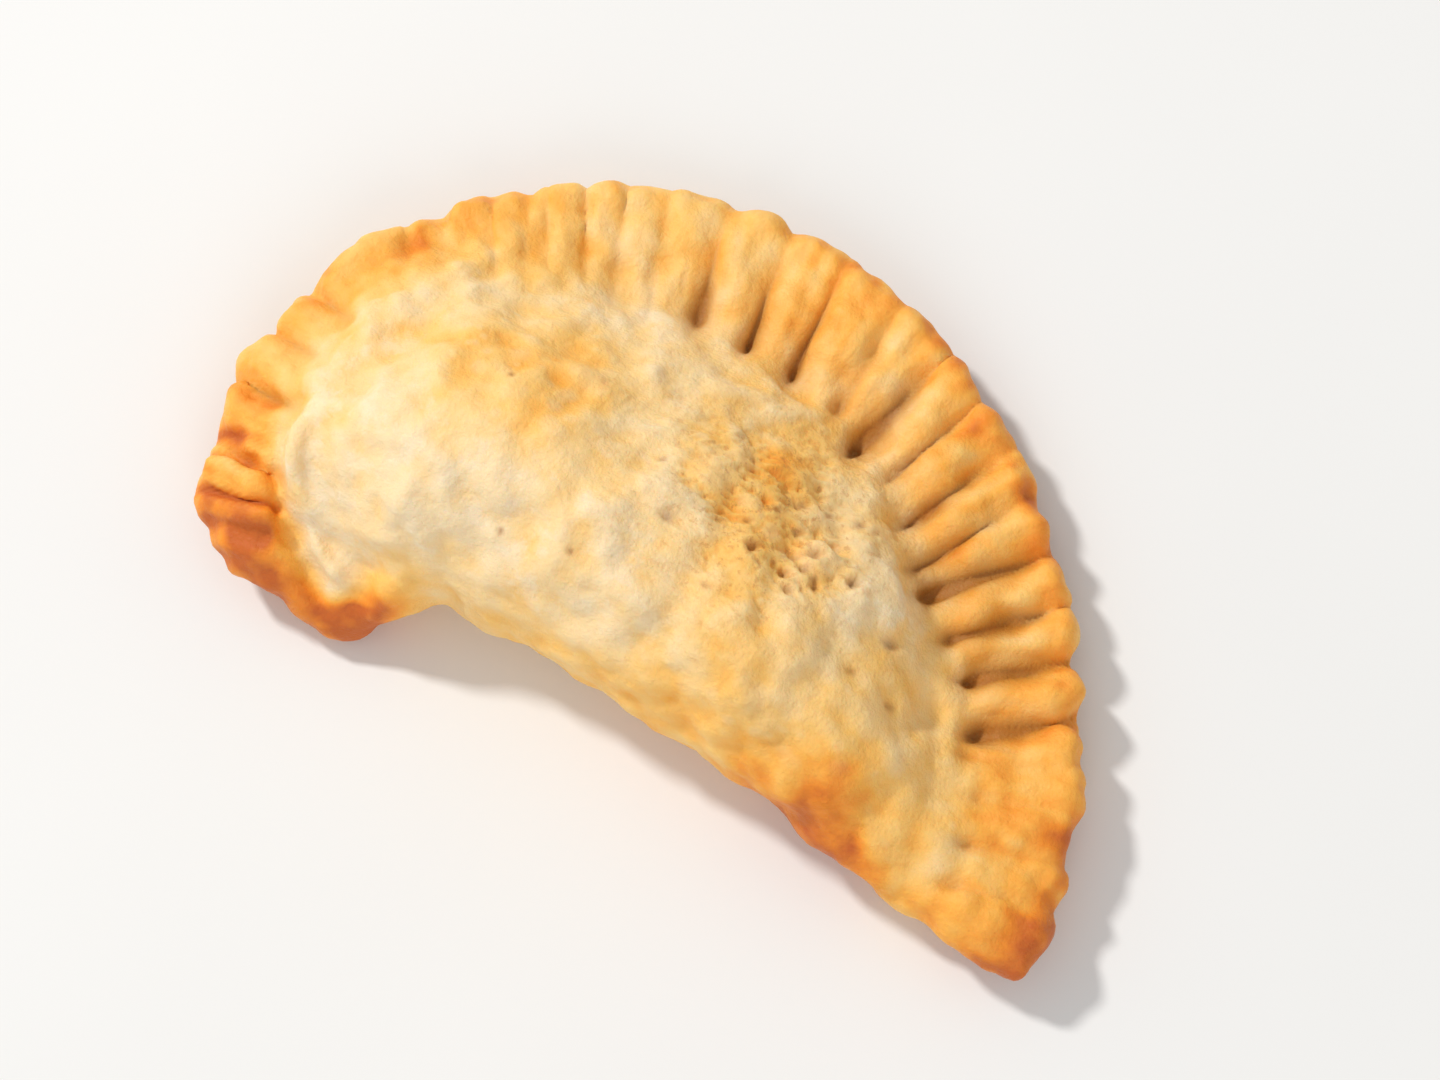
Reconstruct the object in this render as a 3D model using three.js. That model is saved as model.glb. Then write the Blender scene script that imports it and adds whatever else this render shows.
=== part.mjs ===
// A cheese sambousek: a half-moon of pastry folded over its filling, with the round edge
// pressed shut by a fork.
//
// Millimetres. X runs along the fold from the left corner to the right one, Y from the fold
// towards the round edge, and Z is up. The pasty lies on its underside. Its plan is worked out
// about the centre of the round edge, and the finished solid is then moved so that the origin
// is on the ground, under the middle of its box.

import * as THREE from "three";
import { mergeVertices } from "three/addons/utils/BufferGeometryUtils.js";

const { lerp, smoothstep, clamp, degToRad } = THREE.MathUtils;

// Plan: the round edge is a circle that bulges at the back left, is drawn in at the back right
// and again close to the left corner
const ROUND_EDGE_RADIUS = 44.1;
const ROUND_EDGE_SKEW = 3.2;
const WALK_STARTS_AT = degToRad(188);
const DRAWN_IN = 1.5;
const DRAWN_IN_FROM = degToRad(168);
const DRAWN_IN_TO = degToRad(188);
const CORNER_ROUNDING = 1.8;

// Plan: the fold is nearly straight, falls back to the right corner and has a foot at the left
const FOLD_Y = -2.7;
const FOLD_DROP = 3.6;
const FOLD_DROP_FROM = -2;
const FOLD_DROP_TO = 46;
const FOOT_BULGE = 6.8;
const FOOT_BLEND = 12.0;
const FOOT_TAIL_LEFT = -50;
const FOOT_LEFT = -33;
const FOOT_RIGHT = -24;
const FOOT_NOTCH = -16;
const FLANK_LOW = 4.5;
const FLANK_RISE = 4.0;
const FLANK_WIDTH = 5.5;
const SHOULDER_WIDTH = 7.0;
const SHOULDER_SOFTNESS = 0.3;

// Heights: the pressed border, the dome over the filling and the lifted underside of the border
const BORDER_THICKNESS = 3.8;
const DOME_HEIGHT = 16.5;
const DOME_FULLNESS = 1.9;
const DOME_FOOT_SOFTNESS = 6.0;
const DOME_RUN_LEFT = 17.0;
const DOME_RUN_ADDED = 11.0;
const DOME_RUN_FROM = 8;
const DOME_RUN_TO = 60;
const BORDER_LIFT = 2.4;
const BORDER_LIFT_WAVE = 0.6;
const BORDER_WAVE_LENGTH = 13.0;
const BORDER_WAVE_START = 0.8;
const FLAT_STARTS = 14.0;
const LIFT_ENDS = 7.0;
const THINNEST = 1.2;

// Width of the border: narrow at the left, wider in the corner, widest past the middle
const BORDER_NARROW = 5.0;
const BORDER_IN_CORNER = 3.0;
const BORDER_CORNER_LENGTH = 9.0;
const BORDER_WIDENED = 7.0;
const BORDER_WIDENS_FROM = 28;
const BORDER_WIDENS_TO = 62;
const BORDER_NARROWED = 2.5;
const BORDER_NARROWS_FROM = 100;
const BORDER_NARROWS_TO = 150;

// Edge rounding: tight on the pressed edge, wide over the fold
const PRESSED_EDGE_ROUNDING = 1.7;
const PRESSED_UNDER_ROUNDING = 1.5;
const FOLD_ROUNDING = 12.0;
const FOLD_ROUNDING_SHARE = 0.7;
const FOLD_UNDER_ROUNDING = 9.0;
const FOLD_UNDER_ROUNDING_SHARE = 0.45;
const PRESSED_EDGE_LEVEL = 0.45;
const FOLD_EDGE_LEVEL = 0.4;
const FOLD_EDGE_ENDS = 0.25;
const PRESSED_EDGE_STARTS = 0.75;

// Crimps: a fork with four tines, pressed down seven times from the left corner to the right
// one. Each press has its middle along the round edge, the pitch of its tines, the half width
// of its grooves and its slant. The grooves' depth goes from an outer share at the edge to an
// inner share at the dome, where some of the tines left holes.
const TINES = 4;
const PRESSES = [
  { at: 14.3, pitch: 5.4, halfWidth: 1.2, slant: 0.0, outer: 0.9, inner: 0.6, holes: 0.0 },
  { at: 39.6, pitch: 3.9, halfWidth: 0.95, slant: 0.3, outer: 0.45, inner: 0.32, holes: 0.0 },
  { at: 53.0, pitch: 3.9, halfWidth: 1.0, slant: 0.12, outer: 0.32, inner: 0.45, holes: 0.0 },
  { at: 73.8, pitch: 6.1, halfWidth: 1.5, slant: 0.0, outer: 0.35, inner: 0.85, holes: 0.8 },
  { at: 97.4, pitch: 5.05, halfWidth: 1.3, slant: -0.15, outer: 0.6, inner: 1.05, holes: 1.0 },
  { at: 118.2, pitch: 5.15, halfWidth: 1.3, slant: -0.25, outer: 1.0, inner: 1.2, holes: 0.9 },
  { at: 137.0, pitch: 4.6, halfWidth: 1.1, slant: -0.3, outer: 0.25, inner: 0.35, holes: 0.5 },
];
const GROOVE_DEPTH = 2.2;
const GROOVE_WIDTH_SPREAD = 0.4;
const GROOVE_NARROW_AT_EDGE = 0.7;
const GROOVE_FLOOR = 0.2;
const GROOVE_WANDER = 1.0;
const GROOVE_PUSH_SPREAD = 0.5;
const GROOVE_PAST_BORDER = 2.0;
const GROOVE_REACH_SPREAD = 3.2;
const GROOVE_INNER_FROM = 0.1;
const GROOVE_INNER_TO = 0.8;
const GROOVE_FADES_BEFORE = 1.8;
const GROOVE_FADES_AFTER = 1.2;
const TINE_SPREAD = 0.5;
const TINE_TURN = 0.1;
const TINE_HOLE_DEPTH = 1.2;
const TINE_HOLE_WIDTH = 0.8;
const TINE_HOLE_LENGTH = 1.3;
const TINE_HOLE_DRAW_NONE = 0.1;
const TINE_HOLE_DRAW_FULL = 0.6;
const SCALLOP = 0.6;
const SCALLOP_REACH = 4.0;

// The edge is ragged: two waves round it, in height and in turns for each radian
const RAGGED_WIDE = 0.16;
const RAGGED_WIDE_TURNS = 37;
const RAGGED_FINE = 0.1;
const RAGGED_FINE_TURNS = 83;
const RAGGED_UNEVEN_TURNS = 7;

// Draws for the crimps and the small lumps start at these numbers
const SPREAD_DRAWS = 40;
const PUSH_DRAWS = 80;
const HOLE_DRAWS = 120;
const REACH_DRAWS = 160;
const LUMP_ANGLE_DRAWS = 200;
const LUMP_DISTANCE_DRAWS = 300;
const LUMP_HEIGHT_DRAWS = 400;
const LUMP_RADIUS_DRAWS = 500;

// Lumps of filling under the pastry: place in plan, radius and height
const LUMPS = [
  { x: 0, y: 13, radius: 14, height: 1.0 },
  { x: 13.5, y: 17.5, radius: 7, height: 1.0 },
  { x: 15.8, y: 13.4, radius: 3.4, height: 1.2 },
  { x: 19, y: 17, radius: 3, height: 1.2 },
  { x: 26.5, y: 9, radius: 4.5, height: -1.3 },
  { x: -20, y: 14, radius: 10, height: 0.9 },
  { x: -6, y: 27, radius: 6, height: -0.5 },
];

// Small lumps, scattered in a half ring about a point of the fold
const SMALL_LUMPS = 26;
const SMALL_LUMP_HEIGHT = 1.1;
const SMALL_LUMP_SUNK = 0.4;
const SMALL_LUMP_RADIUS = 2.4;
const SMALL_LUMP_SPREAD = 2.5;
const SMALL_LUMPS_X = -2;
const SMALL_LUMPS_STRETCH = 1.1;
const SMALL_LUMPS_NEAR = 6;
const SMALL_LUMPS_RING = 26;

// The rim where the dome ends above the left corner: an arc with a crease outside it
const RIM_MIDDLE = new THREE.Vector2(-22.5, 7.0);
const RIM_RADIUS = 12.9;
const RIM_HEIGHT = 0.7;
const RIM_WIDTH = 1.0;
const RIM_CREASE_DEPTH = 1.5;
const RIM_CREASE_OUTSIDE = 1.8;
const RIM_STARTS = degToRad(185);
const RIM_FULL_FROM = degToRad(205);
const RIM_FULL_TO = degToRad(252);
const RIM_ENDS = degToRad(264);

// Pleats in the left corner: lines that are pinched in
const PLEATS = [
  { fromX: -41.5, fromY: -4.9, toX: -33.9, toY: -3.4, depth: 1.2 },
  { fromX: -42.0, fromY: -1.0, toX: -36.0, toY: -1.2, depth: 0.7 },
  { fromX: -37.5, fromY: -6.6, toX: -33.6, toY: -6.4, depth: 0.9 },
  { fromX: -42.6, fromY: 1.4, toX: -37.5, toY: 0.7, depth: 0.6 },
];
const PLEAT_WIDTH = 0.75;

// Mesh: columns run round the outline, rows from the middle of the top to that of the underside
const COLUMNS = 232;
const TOP_ROWS = 17;
const UNDER_ROWS = 8;
const MESH_MIDDLE = new THREE.Vector2(-16.0, 11.0);
const FOLD_COLUMN_SHARE = 0.5;
const OUTLINE_SAMPLES = 2000;
const OUTLINE_HALVINGS = 40;
const PASTRY_COLOUR = 0xe0b274;

const bell = (distance) => Math.exp(-distance * distance);

// A repeatable draw between 0 and 1
function draw(index) {
  const value = Math.sin(index * 12.9898 + 4.1) * 43758.5453;
  return value - Math.floor(value);
}

// Quarter of a circle: 0 at the start, 1 and level at the end
function roundOver(share) {
  const rest = 1 - clamp(share, 0, 1);
  return Math.sqrt(1 - rest * rest);
}

function softMinimum(a, b, softness) {
  const share = clamp(0.5 + (0.5 * (b - a)) / softness, 0, 1);
  return lerp(b, a, share) - softness * share * (1 - share);
}

// Angle about a point, counted on past the left corner
function angleAt(x, y) {
  const angle = Math.atan2(y, x);
  return angle < -Math.PI / 2 ? angle + 2 * Math.PI : angle;
}

function roundEdgeRadius(angle) {
  const drawnIn = DRAWN_IN * smoothstep(angle, DRAWN_IN_FROM, DRAWN_IN_TO);
  return ROUND_EDGE_RADIUS - ROUND_EDGE_SKEW * Math.sin(2 * angle) - drawnIn;
}

function raggedEdge(angle) {
  const uneven = Math.sin(RAGGED_UNEVEN_TURNS * angle);
  const wide = RAGGED_WIDE * Math.sin(RAGGED_WIDE_TURNS * angle + 2 * uneven);
  return wide + RAGGED_FINE * Math.sin(RAGGED_FINE_TURNS * angle - 3 * uneven);
}

// Length walked along the round edge from near the left corner
function walkedTo(angle) {
  const turned = WALK_STARTS_AT - angle;
  const skewPart = Math.cos(2 * WALK_STARTS_AT) - Math.cos(2 * angle);
  return ROUND_EDGE_RADIUS * turned + (ROUND_EDGE_SKEW / 2) * skewPart;
}

function footShare(x) {
  return smoothstep(x, FOOT_TAIL_LEFT, FOOT_LEFT) * (1 - smoothstep(x, FOOT_RIGHT, FOOT_NOTCH));
}

const foldLine = (x) => FOLD_Y - FOLD_DROP * smoothstep(x, FOLD_DROP_FROM, FOLD_DROP_TO);

function borderWidth(walked) {
  const inCorner = BORDER_IN_CORNER * bell(walked / BORDER_CORNER_LENGTH);
  const widened = BORDER_WIDENED * smoothstep(walked, BORDER_WIDENS_FROM, BORDER_WIDENS_TO);
  const narrowed = BORDER_NARROWED * smoothstep(walked, BORDER_NARROWS_FROM, BORDER_NARROWS_TO);
  return BORDER_NARROW + inCorner + widened - narrowed;
}

// Length over which the dome rises from the border: the left end is blunt
function domeRun(walked) {
  return DOME_RUN_LEFT + DOME_RUN_ADDED * smoothstep(walked, DOME_RUN_FROM, DOME_RUN_TO);
}

// The mark of one tine
function makeGroove(number, press, offset) {
  const wander = draw(number) - 0.5;
  const spread = draw(number + SPREAD_DRAWS) - 0.5;
  const pushed = 1 + GROOVE_PUSH_SPREAD * (draw(number + PUSH_DRAWS) - 0.5);
  const further = GROOVE_REACH_SPREAD * (draw(number + REACH_DRAWS) - 0.5);
  const at = press.at + offset + GROOVE_WANDER * wander;
  const holeShare = smoothstep(draw(number + HOLE_DRAWS), TINE_HOLE_DRAW_NONE, TINE_HOLE_DRAW_FULL);
  return {
    at,
    halfWidth: press.halfWidth + GROOVE_WIDTH_SPREAD * spread,
    reach: borderWidth(at) + GROOVE_PAST_BORDER + further,
    slant: press.slant - (TINE_SPREAD * offset) / ROUND_EDGE_RADIUS + TINE_TURN * spread,
    outer: press.outer * pushed,
    inner: press.inner * pushed,
    hole: press.holes * holeShare,
  };
}

function makeGrooves() {
  const grooves = [];
  for (const press of PRESSES) {
    for (let tine = 0; tine < TINES; tine++) {
      const offset = (tine - (TINES - 1) / 2) * press.pitch;
      grooves.push(makeGroove(grooves.length + 1, press, offset));
    }
  }
  return grooves;
}

const GROOVES = makeGrooves();

// How far a point is pressed in, by the grooves and by the holes at their inner ends
function pressedAt(walked, inward, radius) {
  let smooth = 1;
  let hole = 0;
  for (const groove of GROOVES) {
    const across = (walked - groove.at + groove.slant * inward) * (1 - inward / radius);
    const wayIn = smoothstep(inward / groove.reach, GROOVE_INNER_FROM, GROOVE_INNER_TO);
    const halfWidth = groove.halfWidth * lerp(GROOVE_NARROW_AT_EDGE, 1, wayIn);
    const section = Math.exp(GROOVE_FLOOR - Math.hypot(across / halfWidth, GROOVE_FLOOR));
    const fadeFrom = groove.reach - GROOVE_FADES_BEFORE;
    const there = 1 - smoothstep(inward, fadeFrom, groove.reach + GROOVE_FADES_AFTER);
    smooth *= 1 - Math.min(section * there * lerp(groove.outer, groove.inner, wayIn), 1);
    const alongHole = (inward - groove.reach + 1) / TINE_HOLE_LENGTH;
    hole = Math.max(hole, bell(Math.hypot(across / TINE_HOLE_WIDTH, alongHole)) * groove.hole);
  }
  return { groove: 1 - smooth, hole };
}

// Where a point lies between the two edges of the plan
function planAt(x, y) {
  const angle = angleAt(x, y);
  const radius = roundEdgeRadius(angle);
  const walked = walkedTo(angle);
  const notch = SCALLOP * pressedAt(walked, 0, radius).groove + raggedEdge(angle);
  const plainInward = radius - Math.hypot(x, y);
  const inward = plainInward - notch * (1 - smoothstep(plainInward, 0, SCALLOP_REACH));
  const pastFold = y - foldLine(x);
  const footFade = 1 - smoothstep(pastFold, -FOOT_BULGE, FOOT_BLEND);
  const fromFold = pastFold + FOOT_BULGE * footShare(x) * footFade;
  return { radius, walked, inward, fromFold, inside: softMinimum(inward, fromFold, CORNER_ROUNDING) };
}

function makeSmallLumps() {
  const lumps = [];
  for (let index = 0; index < SMALL_LUMPS; index++) {
    const angle = Math.PI * draw(index + LUMP_ANGLE_DRAWS);
    const distance = SMALL_LUMPS_NEAR + SMALL_LUMPS_RING * draw(index + LUMP_DISTANCE_DRAWS);
    lumps.push({
      x: SMALL_LUMPS_X + SMALL_LUMPS_STRETCH * distance * Math.cos(angle),
      y: distance * Math.sin(angle),
      radius: SMALL_LUMP_RADIUS + SMALL_LUMP_SPREAD * draw(index + LUMP_RADIUS_DRAWS),
      height: SMALL_LUMP_HEIGHT * (draw(index + LUMP_HEIGHT_DRAWS) - SMALL_LUMP_SUNK),
    });
  }
  return lumps;
}

const ALL_LUMPS = [...LUMPS, ...makeSmallLumps()];

function lumpsAt(x, y) {
  let height = 0;
  for (const lump of ALL_LUMPS) {
    height += lump.height * bell(Math.hypot(x - lump.x, y - lump.y) / lump.radius);
  }
  return height;
}

function rimAt(x, y) {
  const angle = angleAt(x - RIM_MIDDLE.x, y - RIM_MIDDLE.y);
  const outside = Math.hypot(x - RIM_MIDDLE.x, y - RIM_MIDDLE.y) - RIM_RADIUS;
  const begun = smoothstep(angle, RIM_STARTS, RIM_FULL_FROM);
  const share = begun * (1 - smoothstep(angle, RIM_FULL_TO, RIM_ENDS));
  const crease = RIM_CREASE_DEPTH * bell((outside - RIM_CREASE_OUTSIDE) / RIM_WIDTH);
  return share * (RIM_HEIGHT * bell(outside / RIM_WIDTH) - crease);
}

function pleatsAt(x, y) {
  let depth = 0;
  for (const pleat of PLEATS) {
    const wayX = pleat.toX - pleat.fromX;
    const wayY = pleat.toY - pleat.fromY;
    const along = (x - pleat.fromX) * wayX + (y - pleat.fromY) * wayY;
    const share = clamp(along / (wayX * wayX + wayY * wayY), 0, 1);
    const away = Math.hypot(x - pleat.fromX - share * wayX, y - pleat.fromY - share * wayY);
    depth += pleat.depth * bell(away / PLEAT_WIDTH);
  }
  return depth;
}

// The foot is a steep flank below the shoulder of the dome
function withFoot(x, y, thickness) {
  const fromFoot = y - foldLine(x) + FOOT_BULGE;
  const flank = FLANK_LOW + FLANK_RISE * clamp(fromFoot / FLANK_WIDTH, 0, 1);
  const climbed = (fromFoot - FLANK_WIDTH) / SHOULDER_WIDTH;
  const onShoulder = roundOver(climbed) * smoothstep(climbed, 0, SHOULDER_SOFTNESS);
  const shoulder = flank + Math.max(thickness - flank, 0) * onShoulder;
  return lerp(thickness, Math.min(thickness, shoulder), footShare(x));
}

// Thickness of the pasty before its edges are rounded
function thicknessAt(x, y, plan) {
  const width = borderWidth(plan.walked);
  const inward = Math.max(plan.inward, 0);
  const pressed = pressedAt(plan.walked, inward, plan.radius);
  const pastBorder = plan.inward - width;
  const softened = 0.5 * (pastBorder + Math.hypot(pastBorder, DOME_FOOT_SOFTNESS));
  const climbed = clamp(softened / domeRun(plan.walked), 0, 1);
  const dome = DOME_HEIGHT * (1 - (1 - climbed) ** DOME_FULLNESS);
  const cut = GROOVE_DEPTH * pressed.groove + TINE_HOLE_DEPTH * pressed.hole;
  const footed = withFoot(x, y, BORDER_THICKNESS + dome - cut + lumpsAt(x, y));
  return Math.max(footed + rimAt(x, y) - pleatsAt(x, y), THINNEST);
}

// Heights of the top and of the underside over a point of the plan
function heightsAt(x, y) {
  const plan = planAt(x, y);
  const inside = Math.max(plan.inside, 0);
  const thickness = thicknessAt(x, y, plan);
  const fromRound = Math.max(plan.inward, 0);
  const fromFold = Math.max(plan.fromFold, 0);
  const towardsRound = fromFold / (fromRound + fromFold + 1e-6);
  const pressedShare = smoothstep(towardsRound, FOLD_EDGE_ENDS, PRESSED_EDGE_STARTS);
  const foldRounding = Math.min(FOLD_ROUNDING_SHARE * thickness, FOLD_ROUNDING);
  const foldUnderRounding = Math.min(FOLD_UNDER_ROUNDING_SHARE * thickness, FOLD_UNDER_ROUNDING);
  const topRounding = lerp(foldRounding, PRESSED_EDGE_ROUNDING, pressedShare);
  const underRounding = lerp(foldUnderRounding, PRESSED_UNDER_ROUNDING, pressedShare);
  const level = lerp(FOLD_EDGE_LEVEL, PRESSED_EDGE_LEVEL, pressedShare);
  const wave = BORDER_LIFT_WAVE * Math.sin(plan.walked / BORDER_WAVE_LENGTH + BORDER_WAVE_START);
  const lift = (BORDER_LIFT + wave) * (1 - smoothstep(plan.inward, LIFT_ENDS, FLAT_STARTS));
  return {
    top: lift + thickness * (level + (1 - level) * roundOver(inside / topRounding)),
    under: lift + thickness * level * (1 - roundOver(inside / underRounding)),
  };
}

// The outline, found along a ray from the middle of the mesh
function outlineAt(angle) {
  const direction = new THREE.Vector2(Math.cos(angle), Math.sin(angle));
  const point = new THREE.Vector2();
  let near = 0;
  let far = 2 * ROUND_EDGE_RADIUS;
  for (let step = 0; step < OUTLINE_HALVINGS; step++) {
    const middle = (near + far) / 2;
    point.copy(MESH_MIDDLE).addScaledVector(direction, middle);
    if (planAt(point.x, point.y).inside > 0) near = middle;
    else far = middle;
  }
  return point.copy(MESH_MIDDLE).addScaledVector(direction, near);
}

// Outline points for the columns, twice as close together on the crimps as on the fold
function spreadColumns() {
  const samples = [];
  const walked = [0];
  for (let index = 0; index <= OUTLINE_SAMPLES; index++) {
    samples.push(outlineAt((index / OUTLINE_SAMPLES) * 2 * Math.PI));
    if (index === 0) continue;
    const plan = planAt(samples[index].x, samples[index].y);
    const weight = plan.inward < plan.fromFold ? 1 : FOLD_COLUMN_SHARE;
    walked.push(walked[index - 1] + weight * samples[index].distanceTo(samples[index - 1]));
  }
  const columns = [];
  let sample = 0;
  for (let column = 0; column < COLUMNS; column++) {
    const wanted = (column / COLUMNS) * walked[OUTLINE_SAMPLES];
    while (walked[sample + 1] < wanted) sample++;
    const share = (wanted - walked[sample]) / (walked[sample + 1] - walked[sample]);
    columns.push(samples[sample].clone().lerp(samples[sample + 1], share));
  }
  return columns;
}

// A sphere's columns and rows, drawn out to the outline and to the heights of the pasty
function makePastyGeometry() {
  const geometry = new THREE.SphereGeometry(1, COLUMNS, TOP_ROWS + UNDER_ROWS);
  const position = geometry.getAttribute("position");
  const columns = spreadColumns();
  for (let index = 0; index < position.count; index++) {
    const row = Math.floor(index / (COLUMNS + 1));
    const column = (index % (COLUMNS + 1)) % COLUMNS;
    const onTop = row <= TOP_ROWS;
    const rowShare = onTop ? row / TOP_ROWS : (TOP_ROWS + UNDER_ROWS - row) / UNDER_ROWS;
    const outward = 1 - (1 - rowShare) ** 2;
    const point = MESH_MIDDLE.clone().lerp(columns[column], outward);
    const heights = heightsAt(point.x, point.y);
    position.setXYZ(index, point.x, point.y, onTop ? heights.top : heights.under);
  }
  geometry.deleteAttribute("normal");
  geometry.deleteAttribute("uv");
  return mergeVertices(geometry, 1e-5);
}

function moveOriginUnderMiddle(geometry) {
  geometry.computeBoundingBox();
  const middle = geometry.boundingBox.getCenter(new THREE.Vector3());
  geometry.translate(-middle.x, -middle.y, -geometry.boundingBox.min.z);
  geometry.computeVertexNormals();
  return geometry;
}

const pastry = new THREE.MeshStandardMaterial({
  color: PASTRY_COLOUR,
  roughness: 0.62,
  metalness: 0,
});

const sambousek = new THREE.Mesh(moveOriginUnderMiddle(makePastyGeometry()), pastry);
sambousek.name = "sambousek";

const model = new THREE.Group();
model.add(sambousek);

export default model;
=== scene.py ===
"""A cheese sambousek in a plain studio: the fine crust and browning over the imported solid."""

import logging
import math
from dataclasses import dataclass
from enum import Enum, IntEnum

import bmesh
import bpy
import numpy as np
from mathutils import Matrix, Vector
from mathutils import noise
from mathutils.kdtree import KDTree


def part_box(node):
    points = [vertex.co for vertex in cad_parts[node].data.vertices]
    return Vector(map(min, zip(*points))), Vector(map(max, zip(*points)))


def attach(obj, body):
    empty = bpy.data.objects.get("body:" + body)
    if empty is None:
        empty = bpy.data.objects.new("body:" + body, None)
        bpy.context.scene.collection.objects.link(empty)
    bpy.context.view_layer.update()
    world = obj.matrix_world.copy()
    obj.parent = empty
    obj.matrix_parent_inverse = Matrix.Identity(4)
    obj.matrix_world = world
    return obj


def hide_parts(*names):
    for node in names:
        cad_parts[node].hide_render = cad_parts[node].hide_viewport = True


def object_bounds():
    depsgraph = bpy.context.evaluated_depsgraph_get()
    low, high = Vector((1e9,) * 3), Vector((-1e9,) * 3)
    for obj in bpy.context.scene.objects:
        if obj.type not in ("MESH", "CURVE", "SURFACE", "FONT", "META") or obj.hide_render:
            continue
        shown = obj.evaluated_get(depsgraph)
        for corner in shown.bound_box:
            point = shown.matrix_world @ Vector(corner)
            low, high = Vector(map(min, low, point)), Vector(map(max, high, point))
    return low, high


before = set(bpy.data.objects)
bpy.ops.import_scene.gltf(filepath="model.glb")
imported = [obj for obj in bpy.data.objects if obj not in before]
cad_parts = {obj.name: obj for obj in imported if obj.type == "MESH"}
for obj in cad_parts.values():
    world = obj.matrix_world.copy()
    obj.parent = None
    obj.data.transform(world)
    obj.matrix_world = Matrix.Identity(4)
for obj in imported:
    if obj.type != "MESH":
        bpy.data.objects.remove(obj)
cad_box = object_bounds()

LOG = logging.getLogger("sambousek")
MM = 0.001
NEXT_TO_NOTHING = 1e-6
DRAW_STEP, DRAW_START, DRAW_STRETCH = 12.9898, 4.1, 43758.5453
Array = np.ndarray
Colour = tuple[float, float, float, float]
Stop = tuple[float, Colour]


class Layer(Enum):
    """Mesh attributes that carry how the crust was baked and pressed, and where shade and light are
    painted into its colour.
    """

    BROWNED_AND_SHADED = "browned"
    # marks groove floors, tine holes and pits, where a dark tint is painted shade
    SHADED_HOLLOWS = "pressed"
    BLISTERED = "blistered"
    SANDY = "sandy"
    STREAKED = "streaked"
    ROUGH = "rough"


class Sum(Enum):
    """Sums that the materials' nodes work out."""

    PLUS = "ADD"
    MINUS = "SUBTRACT"
    TIMES = "MULTIPLY"


class Side(Enum):
    """The two faces of the pasty."""

    TOP = "top"
    UNDER = "under"


class NoiseLayer(Enum):
    """Levels at which the kinds of relief read the noise, so that they don't match."""

    WAVE = 3.0
    STREAK = 5.0
    RIPPLE = 11.0
    GRAIN = 23.0
    FINE = 31.0
    CRUMB = 47.0


class Draws(IntEnum):
    """Where the repeatable draws for the grooves and for the small lumps start."""

    SPREAD = 40
    PUSH = 80
    HOLE = 120
    REACH = 160
    LUMP_ANGLE = 200
    LUMP_DISTANCE = 300
    LUMP_HEIGHT = 400
    LUMP_RADIUS = 500


def smoothstep(value: Array | float, low: float, high: float) -> Array:
    """Rise smoothly from 0 at low to 1 at high.

    Args:
        value: where to read the step.
        low: value up to which the step is 0.
        high: value from which the step is 1.

    Returns:
        The step, between 0 and 1.
    """
    share = np.clip((value - low) / (high - low), 0.0, 1.0)
    return share * share * (3.0 - 2.0 * share)


def blend(start: Array | float, end: Array | float, share: Array | float) -> Array:
    """Mix two values.

    Args:
        start: value at share 0.
        end: value at share 1.
        share: how far to go from start to end.

    Returns:
        The mixed value.
    """
    return start + (end - start) * share


def bell(distance: Array) -> Array:
    """Return a bell curve: 1 at distance 0 and nearly 0 from distance 2."""
    return np.exp(-distance * distance)


def round_over(share: Array) -> Array:
    """Return a quarter circle: 0 at share 0, 1 and level at share 1."""
    rest = 1.0 - np.clip(share, 0.0, 1.0)
    return np.sqrt(1.0 - rest * rest)


def soft_minimum(first: Array, second: Array, softness: float) -> Array:
    """Take the smaller of two values, rounded where they are alike.

    Args:
        first: one value.
        second: the other value.
        softness: how near they are where the rounding starts.

    Returns:
        The rounded minimum.
    """
    share = np.clip(0.5 + 0.5 * (second - first) / softness, 0.0, 1.0)
    return blend(second, first, share) - softness * share * (1.0 - share)


def draw(index: int) -> float:
    """Return a repeatable draw between 0 and 1 for a number."""
    value = math.sin(index * DRAW_STEP + DRAW_START) * DRAW_STRETCH
    return value - math.floor(value)


def full_angle(x: Array, y: Array) -> Array:
    """Return the angle of points about the origin, counted on past the left corner."""
    angle = np.arctan2(y, x)
    return np.where(angle < -math.pi / 2, angle + 2 * math.pi, angle)


def display_colour(red: int, green: int, blue: int) -> Colour:
    """Turn a colour as a screen shows it into the linear one that shaders use.

    Args:
        red: red from 0 to 255.
        green: green from 0 to 255.
        blue: blue from 0 to 255.

    Returns:
        The linear colour with alpha 1.
    """
    channels = []
    for channel in (red, green, blue):
        level = channel / 255.0
        linear = level / 12.92 if level <= 0.04045 else ((level + 0.055) / 1.055) ** 2.4
        channels.append(linear)
    return (channels[0], channels[1], channels[2], 1.0)


@dataclass(frozen=True)
class ForkPress:
    """One push of the fork: its middle along the round edge and its tines' marks, in mm.

    The marks' depth goes from the outer share at the edge to the inner share at the dome,
    where some of the tines left holes.
    """

    at: float
    pitch: float
    half_width: float
    slant: float
    outer: float
    inner: float
    holes: float


@dataclass(frozen=True)
class Groove:
    """The mark of one tine, in mm along the round edge and inwards from it."""

    at: float
    half_width: float
    reach: float
    slant: float
    outer: float
    inner: float
    hole: float


@dataclass(frozen=True)
class Lump:
    """A swelling or a hollow of the dome, or a patch that is baked more or less, in mm."""

    x: float
    y: float
    radius: float
    height: float

    def swell(self, x: Array, y: Array) -> Array:
        """Return what the lump adds at points of the plan."""
        return self.height * bell(np.hypot(x - self.x, y - self.y) / self.radius)


@dataclass(frozen=True)
class Pit:
    """A pinhole in the crust, in mm, and its rim, which is placed in radii of the hole."""

    x: float
    y: float
    radius: float
    depth: float
    rim: float = 0.0
    rim_away: float = 1.9
    rim_width: float = 0.7


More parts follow.
